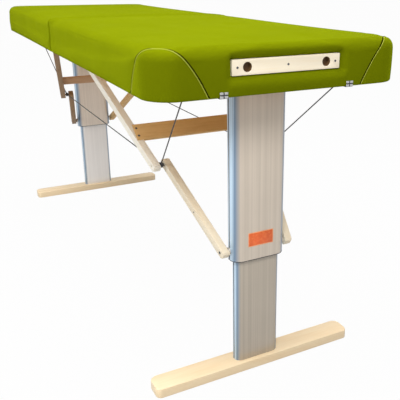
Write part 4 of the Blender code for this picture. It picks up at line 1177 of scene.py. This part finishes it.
class TABLE_OT_woodwork(bpy.types.Operator):
    """Round the edges of the wooden pieces and give them their grain"""

    bl_idname = "massage_table.woodwork"
    bl_label = "Finish woodwork"

    def execute(self, context):
        edge = context.scene.table_trim.wood_edge
        for prefix, _ in ENDS:
            for node, material in WOOD_FINISHES:
                refine(node.format(prefix), material.format(prefix), edge)
        for strut, *materials in STRUT_FINISHES:
            for (hand_name, _), material in zip(HANDS, materials):
                refine(f"{strut}_{hand_name}", material, edge)
        refine("headrest_board", "birch_board", edge)
        return {"FINISHED"}


METAL_FINISHES = (
    # The far profiles' finishes are painted light, and the near inner one is painted shade
    ("{}_outer_column", "{}_outer_aluminium"),
    ("{}_inner_column", "{}_inner_aluminium"),
    ("{}_leg_shaft", "plated_steel"),
    ("{}_brace_bolt_left", "plated_steel"),
    ("{}_brace_bolt_right", "plated_steel"),
    ("centre_hinge_leaf_{}", "plated_steel"),
)
KEPT_FINISHES = (
    ("{}_column_head", "black_plastic"),
    ("{}_motor", "black_plastic"),
    ("{}_guide", "black_plastic"),
    ("{}_spindle", "plated_steel"),
)
METAL_SEGMENTS = 2
RIM_GAP = 0.1 * MILLIMETRE
# Height of the black ring that paints the shadow under the outer profile's rim
RIM_SHADOW_HEIGHT = 0.0018
SLEEVE_SHARE = 0.64
SLEEVE_FINDER = 0.96
SLEEVE_CHAMFER = 0.0008
SLEEVE_END_SHARE = 0.9
PIN_SHARE = 0.46
PIN_TIP_SHARE = 0.7
PIN_SUNK = 0.0080
PIN_SIDES = 24


class TABLE_OT_metalwork(bpy.types.Operator):
    """Finish the columns, bolts, pins and hinge, and the plastic pieces"""

    bl_idname = "massage_table.metalwork"
    bl_label = "Finish metalwork"

    def execute(self, context):
        edge = context.scene.table_trim.metal_edge
        for prefix, _ in ENDS:
            for node, material in METAL_FINISHES:
                refine(node.format(prefix), material.format(prefix), edge, METAL_SEGMENTS)
            for node, material in KEPT_FINISHES:
                self.dress(node.format(prefix), material)
            self.rim_lip(prefix)
            for hand_name, hand in HANDS:
                self.knee_pin(f"{prefix}_knee_pin_{hand_name}", prefix + "_upper_struts", hand)
        self.dress("centre_hinge_pin", "plated_steel")
        refine("control_box", "black_plastic", edge, METAL_SEGMENTS)
        return {"FINISHED"}

    def rim_lip(self, prefix):
        """Add a thin black ring just under the rim of the outer profile, round the inner one: a painted
        shadow of the gap between the two profiles.
        """
        mesh = frame_mesh(prefix + "_outer_column")
        above = [face for face in mesh.faces if face.calc_center_median().z > COLUMN_LOW.z + RIM_GAP]
        bmesh.ops.delete(mesh, geom=above, context="FACES")
        bmesh.ops.translate(mesh, vec=(0.0, 0.0, -RIM_GAP), verts=mesh.verts)
        rim = mesh.faces[:]
        border = [edge for edge in mesh.edges if edge.is_boundary]
        drop = Vector((0.0, 0.0, RIM_SHADOW_HEIGHT))
        lower = {vert: mesh.verts.new(vert.co - drop) for vert in mesh.verts[:]}
        for face in rim:
            mesh.faces.new([lower[vert] for vert in reversed(face.verts)])
        for edge in border:
            first, last = edge.verts
            mesh.faces.new((first, last, lower[last], lower[first]))
        bmesh.ops.recalc_face_normals(mesh, faces=mesh.faces)
        lip = add_piece(prefix + "_rim_lip", mesh, "black_plastic", prefix + "_column")

    def knee_pin(self, node, body, hand):
        """Make a knee pin with a thick sleeve between the struts and ends sunk in their holes."""
        low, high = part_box(node)
        centre = (low + high) / 2
        outside = (high.x - low.x) / 2
        reach = [
            abs(vert.co.y)
            for vert in frame["nodes"][node].data.vertices
            if math.hypot(vert.co.x - centre.x, vert.co.z - centre.z) > SLEEVE_FINDER * outside
        ]
        first, last = min(reach), max(reach)
        inner, outer = sorted((abs(low.y), abs(high.y)))
        sleeve = SLEEVE_SHARE * outside
        pin = PIN_SHARE * sleeve
        profile = (
            (inner + PIN_SUNK, pin * PIN_TIP_SHARE),
            (inner + PIN_SUNK, pin),
            (first, pin),
            (first, sleeve * SLEEVE_END_SHARE),
            (first + SLEEVE_CHAMFER, sleeve),
            (last - SLEEVE_CHAMFER, sleeve),
            (last, sleeve * SLEEVE_END_SHARE),
            (last, pin),
            (outer - PIN_SUNK, pin),
            (outer - PIN_SUNK, pin * PIN_TIP_SHARE),
        )
        mesh = bmesh.new()
        add_turned(mesh, (centre.x, 0.0, centre.z), (0.0, hand, 0.0), profile, PIN_SIDES)
        piece = add_piece(node + "_finished", mesh, "dark_steel", body)
        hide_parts(node)

    def dress(self, node, material):
        frame["nodes"][node].material_slots[0].material = finish(material)


CABLE_STEPS = 40
# Where a knee cable hands over to the middle one
CABLE_JOIN = 0.30
CABLE_SIDE = (MIDDLE_CABLE_LOW.y + MIDDLE_CABLE_HIGH.y) / 2
KNEE_EYE = Vector((KNEE.x, CABLE_SIDE, KNEE.z))
# The end cable's anchor, inside the end rail's box and the cable's own box
ANCHOR_INSET = Vector((0.0155, 0.0015, 0.0012))
ANCHOR = Vector((RAIL_HIGH.x, CABLE_HIGH.y, CABLE_HIGH.z)) - ANCHOR_INSET
EYE_GAP = 0.0006
EYE_STEPS = 28
EYE_WIRE_SHARE = 0.80
EYE_OFFSET = 1.6
# A ferrule's outline: distances along it, and its radius in radii of the eye's wire
FERRULE_OUTLINE = ((0.0, 1.5), (0.001, 1.9), (0.013, 1.9), (0.014, 1.4))
FERRULE_SIDES = 12


class TABLE_OT_cables(bpy.types.Operator):
    """Make the steel cables, with the eyes and ferrules that hold them at the knees"""

    bl_idname = "massage_table.cables"
    bl_label = "Make cables"

    def execute(self, context):
        radius = context.scene.table_trim.cable_radius
        for hand_name, hand in HANDS:
            for prefix, side in ENDS:
                knee = mirrored(KNEE_EYE, side, hand)
                anchor = mirrored(ANCHOR, side, hand)
                inward = Vector((side * CABLE_JOIN, knee.y, knee.z))
                self.end_cable(prefix, hand_name, knee, anchor, radius)
                self.knee_cable(prefix, hand_name, knee, inward, radius)
                self.eyes(prefix, hand_name, knee, (anchor, inward), EYE_WIRE_SHARE * radius)
            self.middle_cable(hand_name, hand, radius)
        return {"FINISHED"}

    def straight(self, name, start, end, radius):
        mesh = bmesh.new()
        add_tube(mesh, [start.lerp(end, step / CABLE_STEPS) for step in range(CABLE_STEPS + 1)], radius)
        return add_piece(name, mesh, "cable_steel")

    def end_cable(self, prefix, hand_name, knee, anchor, radius):
        run = (anchor - knee).normalized()
        name = f"{prefix}_end_cable_{hand_name}_wound"
        cable = self.straight(name, knee + run * PIN_RADIUS, anchor, radius)
        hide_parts(f"{prefix}_end_cable_{hand_name}")
        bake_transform(cable)

    def knee_cable(self, prefix, hand_name, knee, inward, radius):
        run = (inward - knee).normalized()
        name = f"{prefix}_knee_cable_{hand_name}"
        cable = self.straight(name, knee + run * PIN_RADIUS, inward, radius)
        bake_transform(cable)

    def middle_cable(self, hand_name, hand, radius):
        near = Vector((CABLE_JOIN, hand * CABLE_SIDE, KNEE.z))
        far = mirrored(near, side=-1)
        cable = self.straight(f"middle_cable_{hand_name}_wound", near, far, radius)
        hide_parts("middle_cable_" + hand_name)
        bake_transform(cable)

    def eyes(self, prefix, hand_name, knee, ends, wire):
        """Add a wire eye round the knee's sleeve with a crimped ferrule for each cable.

        The end cable's eye turns with the lower struts, so that it points down when the legs are folded.
        """
        sleeve = SLEEVE_SHARE * PIN_RADIUS
        reach = sleeve + wire + EYE_GAP
        angles = [2 * math.pi * step / EYE_STEPS for step in range(EYE_STEPS + 1)]
        profile = [(along, share * wire) for along, share in FERRULE_OUTLINE]
        offset = EYE_OFFSET * wire
        parts = (("end_cable", "_lower_struts", -offset), ("knee_cable", "_upper_struts", offset))
        for (part, body, aside), end in zip(parts, ends):
            mesh = bmesh.new()
            run = (end - knee).normalized()
            centre = knee + Vector((0.0, aside, 0.0))
            spokes = [Vector((reach * math.cos(angle), 0.0, reach * math.sin(angle))) for angle in angles]
            add_tube(mesh, [centre + spoke for spoke in spokes], wire)
            add_turned(mesh, knee + run * (sleeve + wire), run, profile, FERRULE_SIDES)
            eye = add_piece(f"{prefix}_{part}_eye_{hand_name}", mesh, "dark_steel", prefix + body)


BOARD_SCREW_PLACES = (-0.1265, 0.0, 0.1265)
BOARD_SCREW_SHARE = 0.75
SOCKET_SUNK = 0.0012
SOCKET_FLOOR = 0.0008
SOCKET_RIM_SHARE = 0.97
SOCKET_BORE_SHARE = 0.93
SOCKET_FLOOR_SHARE = 0.92
SOCKET_SIDES = 32
# A clip: its front and drop from the skirt, its dark base and bent foot, and its pads
CLIP_FRONT = 0.0002
CLIP_DROP = 0.0014
CLIP_BASE_MARGIN = 0.001
CLIP_BASE_BACK = 0.0014
CLIP_BASE_PROUD = 0.0008
CLIP_BASE_EDGE = 0.0003
CLIP_FOOT_BACK = 0.0120
CLIP_FOOT_RISE = 0.0004
CLIP_PAD_BACK = 0.0004
CLIP_PAD_PROUD = 0.0022
CLIP_PAD_EDGE = 0.0008
CLIP_PAD_SEGMENTS = 3
PLATE_GAP = 0.00005
PLATE_EDGE = 0.00025
# Each part of the plate: its finish, its inset from the rim and its thickness
PLATE_PARTS = (("rim", "plate_rim", 0.0, 0.0007), ("field", "plate_orange", 0.0020, 0.0010))
CROSS_SCREW_PLACES = (-0.014, 0.014)
CROSS_SCREW_INSET = 0.0085
CROSS_BOARD_FACE = 0.0035
# The screws of a lower strut: their places between foot and knee, and their shares of the screw radius
STRUT_SCREWS = ((0.0, 1.15), (0.44, 0.6))


class TABLE_OT_trim(bpy.types.Operator):
    """Add the screws, dark brown cups in the sockets, the plated clips and the blank plate"""

    bl_idname = "massage_table.trim"
    bl_label = "Add trim"

    def execute(self, context):
        trim = context.scene.table_trim
        self.board_screws(trim)
        self.board_sockets(trim)
        self.clips(trim)
        self.plate(trim)
        for prefix, side in ENDS:
            self.cross_board_screws(prefix, side, trim)
            self.foot_screws(prefix, side, trim)
        return {"FINISHED"}

    def board_screws(self, trim):
        mesh = bmesh.new()
        for place in BOARD_SCREW_PLACES:
            centre = (BOARD_HIGH.x, place, BOARD_MIDDLE)
            add_screw(mesh, centre, LENGTHWISE, trim.screw_radius * BOARD_SCREW_SHARE)
        screws = add_piece("headrest_board_screws", mesh, "dark_steel", "near_half")

    def board_sockets(self, trim):
        """Set a dark brown cup in each of the headrest board's two holes, which darkens the hole."""
        mesh = bmesh.new()
        back = BOARD_LOW.x - BOARD_HIGH.x + SOCKET_FLOOR
        radius = trim.socket_radius
        profile = (
            (back, radius),
            (-SOCKET_SUNK, radius),
            (-SOCKET_SUNK / 2, radius * SOCKET_RIM_SHARE),
            (-SOCKET_SUNK, radius * SOCKET_BORE_SHARE),
            (back + SOCKET_FLOOR, radius * SOCKET_FLOOR_SHARE),
        )
        for _, hand in HANDS:
            centre = (BOARD_HIGH.x, hand * trim.socket_place, BOARD_MIDDLE)
            add_turned(mesh, centre, LENGTHWISE, profile, SOCKET_SIDES)
        bmesh.ops.recalc_face_normals(mesh, faces=mesh.faces)
        cups = add_piece("headrest_board_sockets", mesh, "socket_brown", "near_half")

    def clips(self, trim):
        """Each clip is a dark plate bent under the lower edge, with four plated pads in front."""
        front = SKIRT_HIGH.x + CLIP_FRONT
        proud = front + CLIP_BASE_PROUD
        foot = SKIRT_LOW.z - CLIP_DROP
        top = foot + trim.clip_height
        waist = foot + trim.clip_height / 2
        half = trim.clip_width / 2
        gap = trim.clip_gap / 2
        base_half = half - CLIP_BASE_MARGIN
        for hand_name, hand in HANDS:
            middle = hand * trim.clip_place
            plate = bmesh.new()
            low = (front - CLIP_BASE_BACK, middle - base_half, foot)
            add_block(plate, low, (proud, middle + base_half, top - CLIP_BASE_MARGIN), CLIP_BASE_EDGE)
            low = (front - CLIP_FOOT_BACK, middle - half, foot - CLIP_BASE_PROUD)
            add_block(plate, low, (proud, middle + half, foot + CLIP_FOOT_RISE), CLIP_BASE_EDGE)
            base = add_piece(f"near_edge_clip_base_{hand_name}", plate, "black_plastic", "near_half")
            pads = bmesh.new()
            for left, right in ((-half, -gap), (gap, half)):
                for lower, upper in ((foot, waist - gap), (waist + gap, top)):
                    low = (front + CLIP_PAD_BACK, middle + left, lower)
                    high = (front + CLIP_PAD_PROUD, middle + right, upper)
                    add_block(pads, low, high, CLIP_PAD_EDGE, CLIP_PAD_SEGMENTS)
            clip = add_piece(f"near_edge_clip_pads_{hand_name}", pads, "plated_steel", "near_half")

    def plate(self, trim):
        """Add a plain orange plate with a pale rim on the near column, with nothing on it."""
        face = COLUMN_HIGH.x
        middle = COLUMN_LOW.z + trim.plate_middle
        half_width = trim.plate_width / 2
        half_height = trim.plate_height / 2
        for part, material, inset, thickness in PLATE_PARTS:
            mesh = bmesh.new()
            low = (face + PLATE_GAP, inset - half_width, middle - half_height + inset)
            high = (face + thickness, half_width - inset, middle + half_height - inset)
            add_block(mesh, low, high, PLATE_EDGE)
            add_piece("blank_plate_" + part, mesh, material, "near_column")

    def cross_board_screws(self, prefix, side, trim):
        mesh = bmesh.new()
        low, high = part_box(prefix + "_cross_board")
        along = Vector((side * STRUT_SLOPE.x, 0.0, STRUT_SLOPE.z))
        normal = Vector((-side * STRUT_SLOPE.z, 0.0, STRUT_SLOPE.x))
        middle = (low + high) / 2 + normal * CROSS_BOARD_FACE
        for _, hand in HANDS:
            for place in CROSS_SCREW_PLACES:
                centre = middle + along * place + Vector((0.0, hand * (high.y - CROSS_SCREW_INSET), 0.0))
                add_screw(mesh, centre, normal, trim.screw_radius)
        screws = add_piece(prefix + "_cross_board_screws", mesh, "dark_steel", prefix + "_upper_struts")

    def foot_screws(self, prefix, side, trim):
        """Add two screws in the outer face of each lower strut: at its foot and, smaller, near its middle."""
        mesh = bmesh.new()
        foot = Vector((side * COLUMN_MIDDLE, 0.0, BOSS_HEIGHT))
        knee = Vector((side * KNEE.x, 0.0, KNEE.z))
        strut = bpy.data.objects[prefix + "_lower_strut_right_finished"]
        skin = BVHTree.FromObject(strut, bpy.context.evaluated_depsgraph_get())
        for share, size in STRUT_SCREWS:
            place = foot.lerp(knee, share)
            hit, normal, _, _ = skin.ray_cast(Vector((place.x, SKIRT_HIGH.y, place.z)), -CROSSWISE)
            for _, hand in HANDS:
                outside, axis = mirrored(hit, hand=hand), mirrored(normal, hand=hand)
                add_screw(mesh, outside, axis, trim.screw_radius * size)
        screws = add_piece(prefix + "_strut_foot_screws", mesh, "dark_steel", prefix + "_lower_struts")


# Each lamp: its name, place, target, size and colour
LAMPS = (
    ("key", (0.05, -0.10, 3.0), (0.05, 0.0, 0.8), 3.2, (1.0, 0.98, 0.95)),
    ("side", (0.7, -2.5, 2.2), (0.5, 0.0, 0.5), 1.2, (0.93, 0.97, 1.0)),
    ("fill", (2.7, -1.2, 2.7), (0.85, 0.0, 0.5), 1.2, (1.0, 0.97, 0.93)),
)
SENSOR_WIDTH = 36.0
VIEW_LIMIT = 200.0
FLOOR_SIZE = 60.0
FLOOR_DROP = 0.0005
FLOOR_GLOW = 0.97
FLOOR_GREY = (0.50, 0.50, 0.50, 1.0)


class TABLE_OT_stage(bpy.types.Operator):
    """Set up the floor, the surroundings, the lamps and the camera"""

    bl_idname = "massage_table.stage"
    bl_label = "Set the stage"

    def execute(self, context):
        stage = context.scene.table_stage
        self.camera(context, stage)
        self.floor()
        self.sky(context, stage)
        for name, *look in LAMPS:
            self.lamp(name + "_lamp", getattr(stage, name + "_power"), *look)
        context.scene.view_settings.view_transform = "Standard"
        return {"FINISHED"}

    def camera(self, context, stage):
        data = bpy.data.cameras.new("photo_camera")
        camera = bpy.data.objects.new("photo_camera", data)
        context.scene.collection.objects.link(camera)
        azimuth, elevation = stage.camera_azimuth, stage.camera_elevation
        level = math.cos(elevation)
        back = Vector((math.sin(azimuth) * level, -math.cos(azimuth) * level, math.sin(elevation)))
        right = Vector((0.0, 0.0, 1.0)).cross(back).normalized()
        up = back.cross(right)
        basis = Matrix((right, up, back)).transposed().to_4x4()
        roll = Matrix.Rotation(stage.camera_roll, 4, "Z")
        camera.matrix_world = Matrix.Translation(stage.camera_place) @ basis @ roll
        data.sensor_width = SENSOR_WIDTH
        data.lens = stage.focal_pixels / stage.image_pixels * SENSOR_WIDTH
        data.shift_x = 0.5 - stage.middle_pixels[0] / stage.image_pixels
        data.shift_y = stage.middle_pixels[1] / stage.image_pixels - 0.5
        data.clip_end = VIEW_LIMIT
        context.scene.camera = camera

    def floor(self):
        """Lay a floor that takes shadows but looks nearly white to the camera and in reflections."""
        graph, shader = new_material("floor_white")
        graph.fill(shader, {"Base Color": FLOOR_GREY, "Roughness": 0.9, "Specular IOR Level": 0.1})
        paths = graph.add("LightPath").outputs
        seen = graph.math("MAXIMUM", paths["Is Camera Ray"], paths["Is Glossy Ray"])
        share = graph.math("MULTIPLY", seen, FLOOR_GLOW)
        glow = graph.add("Emission", {"Color": WHITE, "Strength": 1.0})
        mixed = graph.add("MixShader", {0: share, 1: shader.outputs[0], 2: glow.outputs[0]})
        graph.fill(graph.tree.nodes["Material Output"], {"Surface": mixed.outputs[0]})
        mesh = bmesh.new()
        bmesh.ops.create_grid(mesh, x_segments=1, y_segments=1, size=FLOOR_SIZE)
        bmesh.ops.translate(mesh, vec=(0.0, 0.0, -FLOOR_DROP), verts=mesh.verts)
        floor = add_piece("studio_floor", mesh, "floor_white")

    def sky(self, context, stage):
        """Light evenly from all round, and look white where it is seen."""
        world = bpy.data.worlds.new("studio")
        world.use_nodes = True
        graph = Graph(world.node_tree)
        paths = graph.add("LightPath").outputs
        seen = graph.math("MAXIMUM", paths["Is Camera Ray"], paths["Is Transmission Ray"])
        seen = graph.math("MAXIMUM", seen, paths["Is Glossy Ray"])
        strength = graph.span(seen, 0.0, 1.0, stage.sky, 1.0)
        graph.fill(world.node_tree.nodes["Background"], {"Color": WHITE, "Strength": strength})
        context.scene.world = world

    def lamp(self, name, power, place, target, size, colour):
        data = bpy.data.lights.new(name, "AREA")
        data.shape = "DISK"
        data.size = size
        data.energy = power
        data.color = colour
        lamp = bpy.data.objects.new(name, data)
        bpy.context.scene.collection.objects.link(lamp)
        lamp.location = place
        lamp.rotation_euler = (Vector(target) - Vector(place)).to_track_quat("-Z", "Y").to_euler()


OPERATORS = (
    TABLE_OT_finishes,
    TABLE_OT_covers,
    TABLE_OT_woodwork,
    TABLE_OT_metalwork,
    TABLE_OT_cables,
    TABLE_OT_trim,
    TABLE_OT_stage,
)
GROUPS = (
    ("table_cover", CoverSizes),
    ("table_trim", TrimSizes),
    ("table_colours", FinishColours),
    ("table_stage", StageSettings),
)


class TABLE_PT_looks(bpy.types.Panel):
    """Sizes, colours and steps of the massage table's looks"""

    bl_idname = "TABLE_PT_looks"
    bl_label = "Massage table"
    bl_space_type = "VIEW_3D"
    bl_region_type = "UI"
    bl_category = "Massage table"

    def draw(self, context):
        for operator in OPERATORS:
            self.layout.operator(operator.bl_idname)
        for name, group in GROUPS:
            box = self.layout.box()
            for key in group.__annotations__:
                box.prop(getattr(context.scene, name), key)


def register():
    for name, group in GROUPS:
        bpy.utils.register_class(group)
        setattr(bpy.types.Scene, name, PointerProperty(type=group))
    for item in (*OPERATORS, TABLE_PT_looks):
        bpy.utils.register_class(item)


def unregister():
    for item in (TABLE_PT_looks, *reversed(OPERATORS)):
        bpy.utils.unregister_class(item)
    for name, group in reversed(GROUPS):
        delattr(bpy.types.Scene, name)
        bpy.utils.unregister_class(group)


def main():
    register()
    bpy.ops.massage_table.finishes()
    bpy.ops.massage_table.covers()
    bpy.ops.massage_table.woodwork()
    bpy.ops.massage_table.metalwork()
    bpy.ops.massage_table.cables()
    bpy.ops.massage_table.trim()
    bpy.ops.massage_table.stage()


if __name__ == "__main__":
    main()
